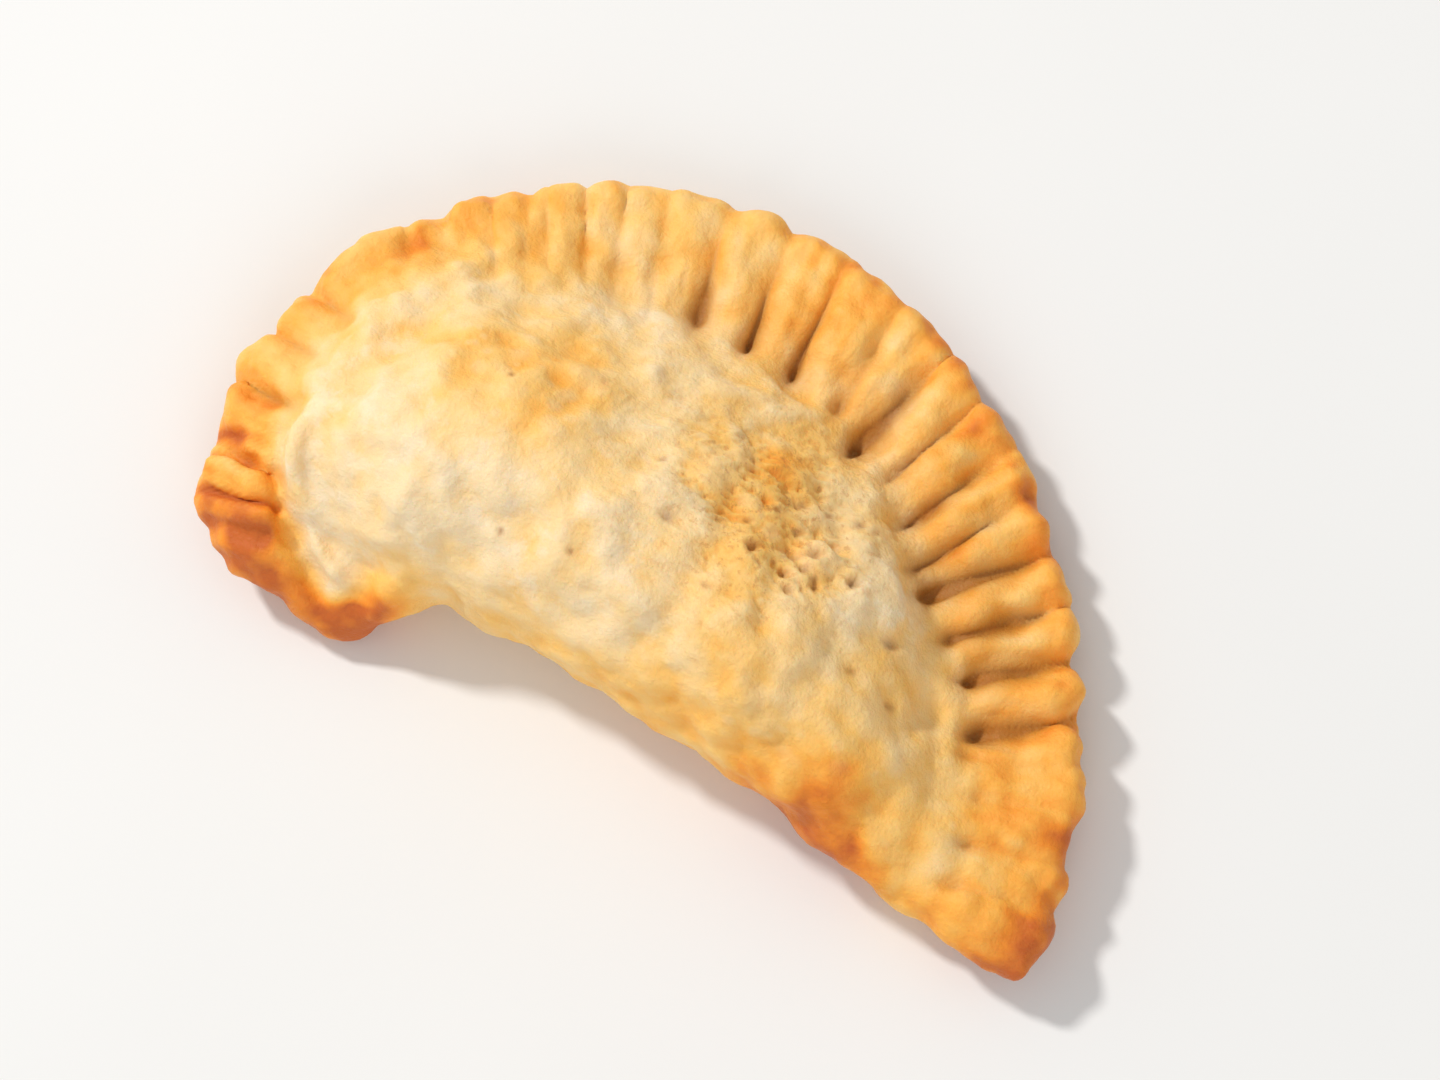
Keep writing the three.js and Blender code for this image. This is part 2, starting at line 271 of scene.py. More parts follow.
@dataclass(frozen=True)
class Pleat:
    """A line that is pinched into the corner, in mm."""

    start: tuple[float, float]
    end: tuple[float, float]
    depth: float

    def distance(self, x: Array, y: Array) -> Array:
        """Measure how far points are from the pleat's line.

        Args:
            x: along the fold.
            y: from the fold.

        Returns:
            The distance of each point.
        """
        way_x = self.end[0] - self.start[0]
        way_y = self.end[1] - self.start[1]
        along = (x - self.start[0]) * way_x + (y - self.start[1]) * way_y
        share = np.clip(along / (way_x * way_x + way_y * way_y), 0.0, 1.0)
        return np.hypot(x - self.start[0] - share * way_x, y - self.start[1] - share * way_y)


@dataclass(frozen=True)
class RimArc:
    """The rim where the dome ends above the left corner, with a crease outside it, in mm."""

    middle: tuple[float, float] = (-22.5, 7.0)
    radius: float = 12.9
    height: float = 0.7
    width: float = 1.0
    crease_depth: float = 1.5
    crease_outside: float = 1.8
    starts: float = math.radians(185.0)
    full_from: float = math.radians(205.0)
    full_to: float = math.radians(252.0)
    ends: float = math.radians(264.0)

    def place(self, x: Array, y: Array) -> tuple[Array, Array, Array]:
        """Follow the arc.

        Args:
            x: along the fold.
            y: from the fold.

        Returns:
            The share of the arc that is there, the distance outside it and the
            angle along it.
        """
        angle = full_angle(x - self.middle[0], y - self.middle[1])
        outside = np.hypot(x - self.middle[0], y - self.middle[1]) - self.radius
        share = smoothstep(angle, self.starts, self.full_from)
        return share * (1.0 - smoothstep(angle, self.full_to, self.ends)), outside, angle

    def lift(self, x: Array, y: Array) -> Array:
        """Work out the height that the rim and its crease add.

        Args:
            x: along the fold.
            y: from the fold.

        Returns:
            The height, less than 0 in the crease.
        """
        share, outside, _ = self.place(x, y)
        crease = self.crease_depth * bell((outside - self.crease_outside) / self.width)
        return share * (self.height * bell(outside / self.width) - crease)


@dataclass(frozen=True)
class PlanPoint:
    """Where points of the plan lie between its two edges, in mm."""

    radius: Array
    walked: Array
    inward: Array
    from_fold: Array
    inside: Array


@dataclass(frozen=True)
class Crimping:
    """The fork's pushes along the round edge, and the shape of the marks they leave, in mm."""

    tines: int = 4
    presses: tuple[ForkPress, ...] = (
        ForkPress(14.3, 5.4, 1.2, 0.0, 0.9, 0.6, 0.0),
        ForkPress(39.6, 3.9, 0.95, 0.3, 0.45, 0.32, 0.0),
        ForkPress(53.0, 3.9, 1.0, 0.12, 0.32, 0.45, 0.0),
        ForkPress(73.8, 6.1, 1.5, 0.0, 0.35, 0.85, 0.8),
        ForkPress(97.4, 5.05, 1.3, -0.15, 0.6, 1.05, 1.0),
        ForkPress(118.2, 5.15, 1.3, -0.25, 1.0, 1.2, 0.9),
        ForkPress(137.0, 4.6, 1.1, -0.3, 0.25, 0.35, 0.5),
    )
    depth: float = 2.2
    width_spread: float = 0.4
    narrow_at_edge: float = 0.7
    floor: float = 0.2
    wander: float = 1.0
    push_spread: float = 0.5
    past_border: float = 2.0
    reach_spread: float = 3.2
    inner_from: float = 0.1
    inner_to: float = 0.8
    fades_before: float = 1.8
    fades_after: float = 1.2
    tine_spread: float = 0.5
    tine_turn: float = 0.1
    hole_depth: float = 1.2
    hole_width: float = 0.8
    hole_length: float = 1.3
    hole_draw_none: float = 0.1
    hole_draw_full: float = 0.6


@dataclass(frozen=True)
class Border:
    """The pressed border in mm: narrow at the left, wider in the corner, widest past the middle."""

    thickness: float = 3.8
    narrow: float = 5.0
    in_corner: float = 3.0
    corner_length: float = 9.0
    widened: float = 7.0
    widens_from: float = 28.0
    widens_to: float = 62.0
    narrowed: float = 2.5
    narrows_from: float = 100.0
    narrows_to: float = 150.0
    lift: float = 2.4
    lift_wave: float = 0.6
    wave_length: float = 13.0
    wave_start: float = 0.8
    lift_ends: float = 7.0
    flat_starts: float = 14.0

    def width(self, walked: Array | float) -> Array:
        """Work out the border's width.

        Args:
            walked: place along the round edge.

        Returns:
            The width there.
        """
        corner = self.in_corner * bell(walked / self.corner_length)
        widened = self.widened * smoothstep(walked, self.widens_from, self.widens_to)
        narrowed = self.narrowed * smoothstep(walked, self.narrows_from, self.narrows_to)
        return self.narrow + corner + widened - narrowed

    def lift_at(self, walked: Array, inward: Array) -> Array:
        """Work out how high the border's underside is off the ground.

        Args:
            walked: place along the round edge.
            inward: distance in from the round edge.

        Returns:
            The lift, 0 from where the underside is flat.
        """
        wave = self.lift_wave * np.sin(walked / self.wave_length + self.wave_start)
        return (self.lift + wave) * (1.0 - smoothstep(inward, self.lift_ends, self.flat_starts))


@dataclass(frozen=True)
class FoldEdge:
    """The fold: nearly straight, dropping to the right corner, with a foot at the left, in mm."""

    y: float = -2.7
    drop: float = 3.6
    drop_from: float = -2.0
    drop_to: float = 46.0
    foot_bulge: float = 6.8
    foot_blend: float = 12.0
    foot_tail_left: float = -50.0
    foot_left: float = -33.0
    foot_right: float = -24.0
    foot_notch: float = -16.0
    flank_low: float = 4.5
    flank_rise: float = 4.0
    flank_width: float = 5.5
    shoulder_width: float = 7.0
    shoulder_softness: float = 0.3

    def line(self, x: Array) -> Array:
        """Return y of the fold at x, without the foot."""
        return self.y - self.drop * smoothstep(x, self.drop_from, self.drop_to)

    def foot_share(self, x: Array) -> Array:
        """Return how much of the foot there is at x."""
        begun = smoothstep(x, self.foot_tail_left, self.foot_left)
        return begun * (1.0 - smoothstep(x, self.foot_right, self.foot_notch))

    def distance(self, x: Array, y: Array) -> Array:
        """Measure how far points are from the fold and its foot.

        Args:
            x: along the fold.
            y: from the fold.

        Returns:
            The distance, positive inside the outline.
        """
        past_fold = y - self.line(x)
        foot_fade = 1.0 - smoothstep(past_fold, -self.foot_bulge, self.foot_blend)
        return past_fold + self.foot_bulge * self.foot_share(x) * foot_fade

    def with_foot(self, x: Array, y: Array, thickness: Array) -> Array:
        """Lower the thickness to a steep flank below the dome's shoulder at the foot.

        Args:
            x: along the fold.
            y: from the fold.
            thickness: thickness without the flank.

        Returns:
            The thickness with the flank.
        """
        from_foot = y - self.line(x) + self.foot_bulge
        flank = self.flank_low + self.flank_rise * np.clip(from_foot / self.flank_width, 0.0, 1.0)
        climbed = (from_foot - self.flank_width) / self.shoulder_width
        on_shoulder = round_over(climbed) * smoothstep(climbed, 0.0, self.shoulder_softness)
        shoulder = flank + np.maximum(thickness - flank, 0.0) * on_shoulder
        return blend(thickness, np.minimum(thickness, shoulder), self.foot_share(x))


@dataclass(frozen=True)
class SmallLumps:
    """Small lumps, scattered in a half ring about a point of the fold, in mm."""

    count: int = 26
    height: float = 1.1
    sunk: float = 0.4
    radius: float = 2.4
    radius_spread: float = 2.5
    middle_x: float = -2.0
    stretch: float = 1.1
    near: float = 6.0
    ring: float = 26.0

    def scatter(self) -> list[Lump]:
        """Draw the lumps in a repeatable way.

        Returns:
            The lumps.
        """
        made: list[Lump] = []
        for index in range(self.count):
            angle = math.pi * draw(index + Draws.LUMP_ANGLE)
            distance = self.near + self.ring * draw(index + Draws.LUMP_DISTANCE)
            made.append(
                Lump(
                    x=self.middle_x + self.stretch * distance * math.cos(angle),
                    y=distance * math.sin(angle),
                    radius=self.radius + self.radius_spread * draw(index + Draws.LUMP_RADIUS),
                    height=self.height * (draw(index + Draws.LUMP_HEIGHT) - self.sunk),
                )
            )
        return made


@dataclass(frozen=True)
class RaggedEdge:
    """Two uneven waves round the edge: heights in mm and turns for each radian."""

    wide: float = 0.16
    wide_turns: float = 37.0
    fine: float = 0.1
    fine_turns: float = 83.0
    uneven_turns: float = 7.0

    def wave(self, angle: Array) -> Array:
        """Work out how far the edge is cut back.

        Args:
            angle: direction from the centre of the round edge.

        Returns:
            The depth of the cut.
        """
        uneven = np.sin(self.uneven_turns * angle)
        wide = self.wide * np.sin(self.wide_turns * angle + 2 * uneven)
        return wide + self.fine * np.sin(self.fine_turns * angle - 3 * uneven)


@dataclass(frozen=True)
class PastyForm:
    """The half-moon's sizes in mm, and its heights over any point of its plan."""

    edge_radius: float = 44.1
    edge_skew: float = 3.2
    walk_starts_at: float = math.radians(188.0)
    drawn_in: float = 1.5
    drawn_in_from: float = math.radians(168.0)
    drawn_in_to: float = math.radians(188.0)
    corner_rounding: float = 1.8
    dome_height: float = 16.5
    dome_fullness: float = 1.9
    dome_foot_softness: float = 6.0
    dome_run_left: float = 17.0
    dome_run_added: float = 11.0
    dome_run_from: float = 8.0
    dome_run_to: float = 60.0
    thinnest: float = 1.2
    pressed_rounding: float = 1.7
    pressed_under_rounding: float = 1.5
    pressed_level: float = 0.45
    pressed_starts: float = 0.75
    fold_rounding: float = 12.0
    fold_rounding_share: float = 0.7
    fold_under_rounding: float = 9.0
    fold_under_share: float = 0.45
    fold_level: float = 0.4
    fold_ends: float = 0.25
    scallop: float = 0.6
    scallop_reach: float = 4.0
    fold: FoldEdge = FoldEdge()
    border: Border = Border()
    crimping: Crimping = Crimping()
    ragged: RaggedEdge = RaggedEdge()
    rim: RimArc = RimArc()
    lumps: tuple[Lump, ...] = (
        Lump(0.0, 13.0, 14.0, 1.0),
        Lump(13.5, 17.5, 7.0, 1.0),
        Lump(15.8, 13.4, 3.4, 1.2),
        Lump(19.0, 17.0, 3.0, 1.2),
        Lump(26.5, 9.0, 4.5, -1.3),
        Lump(-20.0, 14.0, 10.0, 0.9),
        Lump(-6.0, 27.0, 6.0, -0.5),
    )
    small_lumps: SmallLumps = SmallLumps()
    pleats: tuple[Pleat, ...] = (
        Pleat((-41.5, -4.9), (-33.9, -3.4), 1.2),
        Pleat((-42.0, -1.0), (-36.0, -1.2), 0.7),
        Pleat((-37.5, -6.6), (-33.6, -6.4), 0.9),
        Pleat((-42.6, 1.4), (-37.5, 0.7), 0.6),
    )
    pleat_width: float = 0.75

    def round_edge(self, angle: Array) -> Array:
        """Return the radius of the round edge at an angle."""
        drawn_in = self.drawn_in * smoothstep(angle, self.drawn_in_from, self.drawn_in_to)
        return self.edge_radius - self.edge_skew * np.sin(2 * angle) - drawn_in

    def dome_run(self, walked: Array) -> Array:
        """Return the length over which the dome rises from the border: the left end is blunt."""
        added = self.dome_run_added * smoothstep(walked, self.dome_run_from, self.dome_run_to)
        return self.dome_run_left + added

    def groove(self, number: int, press: ForkPress, offset: float) -> Groove:
        """Work out the mark of one tine.

        Args:
            number: the groove's number, for its draws.
            press: the push of the fork that it belongs to.
            offset: the tine's distance from the middle of the fork.

        Returns:
            The mark.
        """
        crimping = self.crimping
        spread = draw(number + Draws.SPREAD) - 0.5
        at = press.at + offset + crimping.wander * (draw(number) - 0.5)
        pushed = 1.0 + crimping.push_spread * (draw(number + Draws.PUSH) - 0.5)
        further = crimping.reach_spread * (draw(number + Draws.REACH) - 0.5)
        drawn = draw(number + Draws.HOLE)
        hole = smoothstep(drawn, crimping.hole_draw_none, crimping.hole_draw_full)
        fanned = crimping.tine_spread * offset / self.edge_radius
        return Groove(
            at=at,
            half_width=press.half_width + crimping.width_spread * spread,
            reach=float(self.border.width(at)) + crimping.past_border + further,
            slant=press.slant - fanned + crimping.tine_turn * spread,
            outer=press.outer * pushed,
            inner=press.inner * pushed,
            hole=press.holes * float(hole),
        )

    def grooves(self) -> list[Groove]:
        """Work out the marks of all presses.

        Returns:
            The grooves from the left corner to the right one.
        """
        made: list[Groove] = []
        for press in self.crimping.presses:
            for tine in range(self.crimping.tines):
                offset = (tine - (self.crimping.tines - 1) / 2) * press.pitch
                made.append(self.groove(len(made) + 1, press, offset))
        return made

    def pressed_at(self, walked: Array, inward: Array, radius: Array) -> tuple[Array, Array]:
        """Tell how far points are pressed in.

        Args:
            walked: place along the round edge.
            inward: distance in from the round edge.
            radius: radius of the round edge there.

        Returns:
            The share of a groove and the share of a tine's hole, from 0 to 1.
        """
        crimping = self.crimping
        smooth = np.ones_like(walked)
        hole = np.zeros_like(walked)
        for groove in self.grooves():
            across = (walked - groove.at + groove.slant * inward) * (1.0 - inward / radius)
            way_in = smoothstep(inward / groove.reach, crimping.inner_from, crimping.inner_to)
            half_width = groove.half_width * blend(crimping.narrow_at_edge, 1.0, way_in)
            section = np.exp(crimping.floor - np.hypot(across / half_width, crimping.floor))
            fade_from = groove.reach - crimping.fades_before
            there = 1.0 - smoothstep(inward, fade_from, groove.reach + crimping.fades_after)
            depth = section * there * blend(groove.outer, groove.inner, way_in)
            smooth *= 1.0 - np.minimum(depth, 1.0)
            along = (inward - groove.reach + 1.0) / crimping.hole_length
            pricked = bell(np.hypot(across / crimping.hole_width, along)) * groove.hole
            hole = np.maximum(hole, pricked)
        return 1.0 - smooth, hole

    def plan_at(self, x: Array, y: Array) -> PlanPoint:
        """Place points between the edges of the plan.

        Args:
            x: along the fold from the centre of the round edge.
            y: from the fold towards the round edge.

        Returns:
            The distances from the edges, positive inside the outline.
        """
        angle = full_angle(x, y)
        radius = self.round_edge(angle)
        turned = self.walk_starts_at - angle
        skew_part = math.cos(2 * self.walk_starts_at) - np.cos(2 * angle)
        walked = self.edge_radius * turned + self.edge_skew / 2 * skew_part
        notch = self.scallop * self.pressed_at(walked, np.zeros_like(walked), radius)[0]
        notch += self.ragged.wave(angle)
        plain_inward = radius - np.hypot(x, y)
        inward = plain_inward - notch * (1.0 - smoothstep(plain_inward, 0.0, self.scallop_reach))
        from_fold = self.fold.distance(x, y)
        inside = soft_minimum(inward, from_fold, self.corner_rounding)
        return PlanPoint(radius, walked, inward, from_fold, inside)

    def lump_height(self, x: Array, y: Array) -> Array:
        """Add up the named lumps and the small ones.

        Args:
            x: along the fold.
            y: from the fold.

        Returns:
            The height that they add.
        """
        height = np.zeros_like(x)
        for lump in [*self.lumps, *self.small_lumps.scatter()]:
            height += lump.swell(x, y)
        return height

    def pleat_depth(self, x: Array, y: Array) -> Array:
        """Add up the pleats of the left corner.

        Args:
            x: along the fold.
            y: from the fold.

        Returns:
            How deep they are.
        """
        depth = np.zeros_like(x)
        for pleat in self.pleats:
            depth += pleat.depth * bell(pleat.distance(x, y) / self.pleat_width)
        return depth

    def thickness_at(self, x: Array, y: Array, plan: PlanPoint) -> Array:
        """Work out the thickness before the edges are rounded.

        Args:
            x: along the fold.
            y: from the fold.
            plan: where the points lie between the edges.

        Returns:
            The thickness at each point.
        """
        inward = np.maximum(plan.inward, 0.0)
        groove, hole = self.pressed_at(plan.walked, inward, plan.radius)
        past_border = plan.inward - self.border.width(plan.walked)
        softened = 0.5 * (past_border + np.hypot(past_border, self.dome_foot_softness))
        climbed = np.clip(softened / self.dome_run(plan.walked), 0.0, 1.0)
        dome = self.dome_height * (1.0 - (1.0 - climbed) ** self.dome_fullness)
        cut = self.crimping.depth * groove + self.crimping.hole_depth * hole
        thickness = self.border.thickness + dome - cut + self.lump_height(x, y)
        footed = self.fold.with_foot(x, y, thickness)
        return np.maximum(footed + self.rim.lift(x, y) - self.pleat_depth(x, y), self.thinnest)

    def heights(self, x: Array, y: Array) -> dict[Side, Array]:
        """Work out both faces over points of the plan.

        Args:
            x: along the fold.
            y: from the fold.

        Returns:
            The heights of the top and of the underside.
        """
        plan = self.plan_at(x, y)
        inside = np.maximum(plan.inside, 0.0)
        thickness = self.thickness_at(x, y, plan)
        from_round = np.maximum(plan.inward, 0.0)
        from_fold = np.maximum(plan.from_fold, 0.0)
        towards_round = from_fold / (from_round + from_fold + NEXT_TO_NOTHING)
        pressed = smoothstep(towards_round, self.fold_ends, self.pressed_starts)
        fold_rounding = np.minimum(self.fold_rounding_share * thickness, self.fold_rounding)
        fold_under = np.minimum(self.fold_under_share * thickness, self.fold_under_rounding)
        top_rounding = blend(fold_rounding, self.pressed_rounding, pressed)
        under_rounding = blend(fold_under, self.pressed_under_rounding, pressed)
        level = blend(self.fold_level, self.pressed_level, pressed)
        lift = self.border.lift_at(plan.walked, plan.inward)
        rise = level + (1.0 - level) * round_over(inside / top_rounding)
        drop = level * (1.0 - round_over(inside / under_rounding))
        return {Side.TOP: lift + thickness * rise, Side.UNDER: lift + thickness * drop}


@dataclass(frozen=True)
class MeshLayout:
    """How the columns and rows of the fine mesh are spread over the form."""

    columns: int = 560
    top_rows: int = 132
    under_rows: int = 42
    middle: tuple[float, float] = (-16.0, 11.0)
    fold_share: float = 0.8
    outline_samples: int = 6000
    outline_halvings: int = 40
    edge_gathering: float = 1.3

    def outline(self, form: PastyForm, angles: Array) -> Array:
        """Find the outline along rays from the middle.

        Args:
            form: the form whose outline is wanted.
            angles: the rays' directions.

        Returns:
            One point of the plan for each ray.
        """
        ways = np.stack([np.cos(angles), np.sin(angles)], axis=1)
        near = np.zeros(len(angles))
        far = np.full(len(angles), 2.0 * form.edge_radius)
        for _ in range(self.outline_halvings):
            half_way = (near + far) / 2
            points = np.array(self.middle) + ways * half_way[:, None]
            inside = form.plan_at(points[:, 0], points[:, 1]).inside > 0
            near = np.where(inside, half_way, near)
            far = np.where(inside, far, half_way)
        return np.array(self.middle) + ways * near[:, None]

    def column_ends(self, form: PastyForm) -> Array:
        """Spread the columns' ends round the outline, closer together on the crimps.

        Args:
            form: the form whose outline is wanted.

        Returns:
            One point of the outline for each column.
        """
        angles = np.linspace(0.0, 2 * math.pi, self.outline_samples + 1)
        points = self.outline(form, angles)
        plan = form.plan_at(points[1:, 0], points[1:, 1])
        weight = np.where(plan.inward < plan.from_fold, 1.0, self.fold_share)
        steps = weight * np.hypot(*np.diff(points, axis=0).T)
        walked = np.concatenate([[0.0], np.cumsum(steps)])
        wanted = np.arange(self.columns) / self.columns * walked[-1]
        return np.stack([np.interp(wanted, walked, points[:, axis]) for axis in range(2)], axis=1)

    def outward(self, rows: Array) -> tuple[Array, Array]:
        """Tell how far out each row lies.

        Args:
            rows: row numbers from the middle of the top, 0, to that of the underside.

        Returns:
            The share of the way from the middle to the outline, and whether the
            row is on the top face.
        """
        on_top = rows <= self.top_rows
        under_rows = self.top_rows + self.under_rows - rows
        share = np.where(on_top, rows / self.top_rows, under_rows / self.under_rows)
        return 1.0 - (1.0 - share) ** self.edge_gathering, on_top


@dataclass(frozen=True)
class CrustRelief:
    """Blisters, waves, crumbs, streaks, beads and pinholes that stand on the form, in mm."""

    seed: int = 7
    blisters: int = 420
    blister_radius: tuple[float, float] = (0.7, 2.2)
    blister_height: float = 0.15
    blister_spread: tuple[float, float] = (0.4, 1.0)
    blister_fullness: float = 1.5
    blisters_on_border: float = 0.35
    bubbles: int = 22
    bubble_radius: float = 3.4
    bubble_radius_spread: tuple[float, float] = (0.7, 1.3)
    bubble_height: float = 0.3
    bubble_height_spread: tuple[float, float] = (0.5, 1.0)
    wave_length: float = 4.8
    wave_height: float = 0.8
    ripple_length: float = 2.4
    ripple_height: float = 0.48
    grain_length: float = 1.2
    grain_height: float = 0.08
    fine_length: float = 0.6
    fine_share: float = 0.3
    rough_place: tuple[float, float] = (9.0, 14.0)
    rough_radius: float = 14.0
    rough_more: float = 0.35
    grain_shows: float = 0.2
    sandy_place: tuple[float, float] = (5.5, 17.5)
    sandy_radius: float = 11.0
    sandy_more: float = 0.7
    crumb_length: float = 1.0
    crumb_height: float = 0.85
    crumb_level: float = 0.3
    crumb_shows: float = 2.0
    groove_sharpness: float = 2.4
    groove_begins: tuple[float, float] = (0.5, 5.0)
    # how strongly holes and pits get the painted shade; holes also count as pressed for the relief
    hole_pressed: float = 0.4
    pit_shade: float = 0.8
    pressed_stills: float = 0.6
    streak_length: float = 7.0
    streak_width: float = 1.2
    streak_height: float = 0.12
    streak_begins: tuple[float, float] = (0.0, 2.0)
    corner_streaks: float = 0.6
    corner_browned: float = 5.0
    corner_place: tuple[float, float] = (-40.0, -1.0)
    corner_radius: float = 7.0
    bead_height: float = 0.55
    bead_width: float = 0.6
    bead_turns: float = 9.0
    bead_spread: float = 0.4
    dome_begins: tuple[float, float] = (-3.0, 2.0)
    calm_slopes: float = 0.8
    calm_levels: tuple[float, float] = (0.1, 0.6)
    calm_begins: tuple[float, float] = (1.0, 3.0)
    rests_from: tuple[float, float] = (1.0, 6.0)
    pits: tuple[Pit, ...] = (
        Pit(-1.5, 11.1, 0.5, 0.5),
        Pit(9.4, 14.6, 0.4, 0.4, 0.4),
        Pit(10.6, 13.9, 0.45, 0.5, 0.4),
        Pit(11.8, 13.6, 0.4, 0.4, 0.4),
        Pit(4.4, 7.6, 0.35, 0.3),
        Pit(20.0, 12.9, 0.6, 0.5),
    )
    scattered_pits: int = 14
    scattered_radius: tuple[float, float] = (0.25, 0.4)
    scattered_depth: tuple[float, float] = (0.1, 0.3)
    clustered_pits: int = 12
    clustered_least: tuple[float, float, float] = (0.35, 0.3, 0.0)
    clustered_most: tuple[float, float, float] = (0.6, 0.7, 0.5)
    cluster_place: tuple[float, float] = (10.3, 13.8)
    cluster_radius: float = 2.8

    def sandy_share(self, x: Array, y: Array) -> Array:
        """Return how sandy and broken the crust is at points of the plan."""
        return bell(np.hypot(x - self.sandy_place[0], y - self.sandy_place[1]) / self.sandy_radius)

    def blister_field(self, points: Array, on_top: Array, sandy: Array) -> tuple[Array, Array]:
        """Scatter blisters over the crust.

        Args:
            points: the vertices in mm.
            on_top: which vertices are on the top face.
            sandy: how sandy each vertex is.

        Returns:
            The height that the blisters add, in mm, and their share from 0 to 1.
        """
        random = np.random.default_rng(self.seed)
        tree = KDTree(len(points))
        for index, point in enumerate(points):
            tree.insert(point, index)
        tree.balance()
        low, high = points.min(axis=0), points.max(axis=0)
        height = np.zeros(len(points))
        share = np.zeros(len(points))
        for number in range(self.blisters + self.bubbles):
            place = random.uniform(low, high)
            place[2] = high[2]
            _, start, _ = tree.find(Vector(place))
            if not on_top[start]:
                continue
            is_bubble = number < self.bubbles
            size = random.uniform() ** 2.0
            smallest, largest = self.blister_radius
            radius = smallest + (largest - smallest) * size
            tall = self.blister_height * random.uniform(*self.blister_spread) * (0.5 + 0.5 * size)
            if is_bubble:
                radius = self.bubble_radius * random.uniform(*self.bubble_radius_spread)
                tall = self.bubble_height * random.uniform(*self.bubble_height_spread)
            tall *= 1.0 + self.sandy_more * sandy[start]
            for _, index, distance in tree.find_range(Vector(points[start]), radius):
                cap = (1.0 - (distance / radius) ** 2) ** self.blister_fullness
                height[index] += tall * cap
                share[index] = max(share[index], cap)
        return height, share

    def pit_field(self, x: Array, y: Array, on_dome: Array) -> tuple[Array, Array]:
        """Prick pinholes into the dome: the named ones and scattered ones.

        Args:
            x: along the fold.
            y: from the fold.
            on_dome: share of the dome at each point.

        Returns:
            The depth of the pits in mm and their share from 0 to 1.
        """
        random = np.random.default_rng(self.seed + 1)
        pits = list(self.pits)
        for _ in range(self.scattered_pits):
            near = random.normal(self.sandy_place, self.sandy_radius)
            radius = random.uniform(*self.scattered_radius)
            pits.append(Pit(near[0], near[1], radius, random.uniform(*self.scattered_depth)))
        for _ in range(self.clustered_pits):
            near = random.normal(self.cluster_place, self.cluster_radius)
            radius, deep, rim = random.uniform(self.clustered_least, self.clustered_most)
            pits.append(Pit(near[0], near[1], radius, deep, rim))
        depth = np.zeros(len(x))
        share = np.zeros(len(x))
        for pit in pits:
            away = np.hypot(x - pit.x, y - pit.y) / pit.radius
            hole = bell(away) * on_dome
            raised = pit.rim * bell((away - pit.rim_away) / pit.rim_width)
            depth += pit.depth * (hole - raised * on_dome)
            share = np.maximum(share, hole)
        return depth, share

    def noise_at(self, point: Array, length: float, layer: NoiseLayer) -> float:
        """Return smooth noise from -1 to 1.

        Args:
            point: where to read it, in mm.
            length: the length of its bumps in mm.
            layer: the kind of relief that reads it.

        Returns:
            The noise.
        """
        x, y, z = point / length
        return noise.noise(Vector((x, y, z + layer.value)))

    def height_at(self, points: Array, sandy: Array, pressed: Array) -> tuple[Array, Array]:
        """Add waves, ripples, crumbs and grain.

        Args:
            points: the vertices in mm.
            sandy: how sandy each vertex is.
            pressed: how far the fork pressed each vertex.

        Returns:
            The height along the normal, in mm, and how far each vertex stands out
            of the rough crust round it, from about -1 to 1.
        """
        height = np.zeros(len(points))
        rough = np.zeros(len(points))
        for index, point in enumerate(points):
            wave = self.noise_at(point, self.wave_length, NoiseLayer.WAVE)
            ripple = self.noise_at(point, self.ripple_length, NoiseLayer.RIPPLE)
            grain = self.noise_at(point, self.grain_length, NoiseLayer.GRAIN)
            fine = self.noise_at(point, self.fine_length, NoiseLayer.FINE)
            crumb = self.noise_at(point, self.crumb_length, NoiseLayer.CRUMB)
            crumb = self.crumb_level - abs(crumb)
            loose = self.crumb_height * crumb * sandy[index]
            from_rough = math.dist(point[:2], self.rough_place) / self.rough_radius
            uneven = 1.0 - self.pressed_stills * pressed[index]
            uneven *= 1.0 + self.rough_more * math.exp(-(from_rough**2))
            small = self.wave_height * wave + self.ripple_height * ripple
            small += self.grain_height * (grain + self.fine_share * fine)
            height[index] = small * uneven + loose
            rough[index] = ripple + self.grain_shows * grain
            rough[index] += self.crumb_shows * crumb * sandy[index]
        return height, rough

    def streaks(self, walked: Array, inward: Array) -> Array:
        """Work out streaks that run in from the round edge.

        Args:
            walked: place along the round edge.
            inward: distance in from the round edge.

        Returns:
            The streaks, from about -1 to 1.
        """
        level = NoiseLayer.STREAK.value
        places = zip(walked / self.streak_width, inward / self.streak_length)
        return np.array([2.0 * noise.noise(Vector((*place, level))) for place in places])

    def corner_share(self, x: Array, y: Array) -> Array:
        """Return how creased the left corner is at points of the plan."""
        away = np.hypot(x - self.corner_place[0], y - self.corner_place[1])
        return bell(away / self.corner_radius)

    def bead_field(self, rim: RimArc, x: Array, y: Array) -> Array:
        """Work out the beads along the rim above the left corner.

        Args:
            rim: the rim that they stand on.
            x: along the fold.
            y: from the fold.

        Returns:
            The height that they add.
        """
        share, outside, angle = rim.place(x, y)
        uneven = 1.0 - self.bead_spread + self.bead_spread * np.sin(self.bead_turns * angle)
        return self.bead_height * share * (bell(outside / self.bead_width) * uneven)

    def pressed_shade_share(self, groove: Array, hole: Array, inward: Array) -> Array:
        """Tell how far the fork pressed and smoothed the crust; the same share marks where shade is
        painted into the grooves and holes.

        Args:
            groove: share of a groove at each point.
            hole: share of a tine's hole at each point.
            inward: distance in from the round edge.

        Returns:
            The share from 0 to 1.
        """
        floor = groove**self.groove_sharpness * smoothstep(inward, *self.groove_begins)
        return np.clip(floor + self.hole_pressed * hole, 0.0, 1.0)

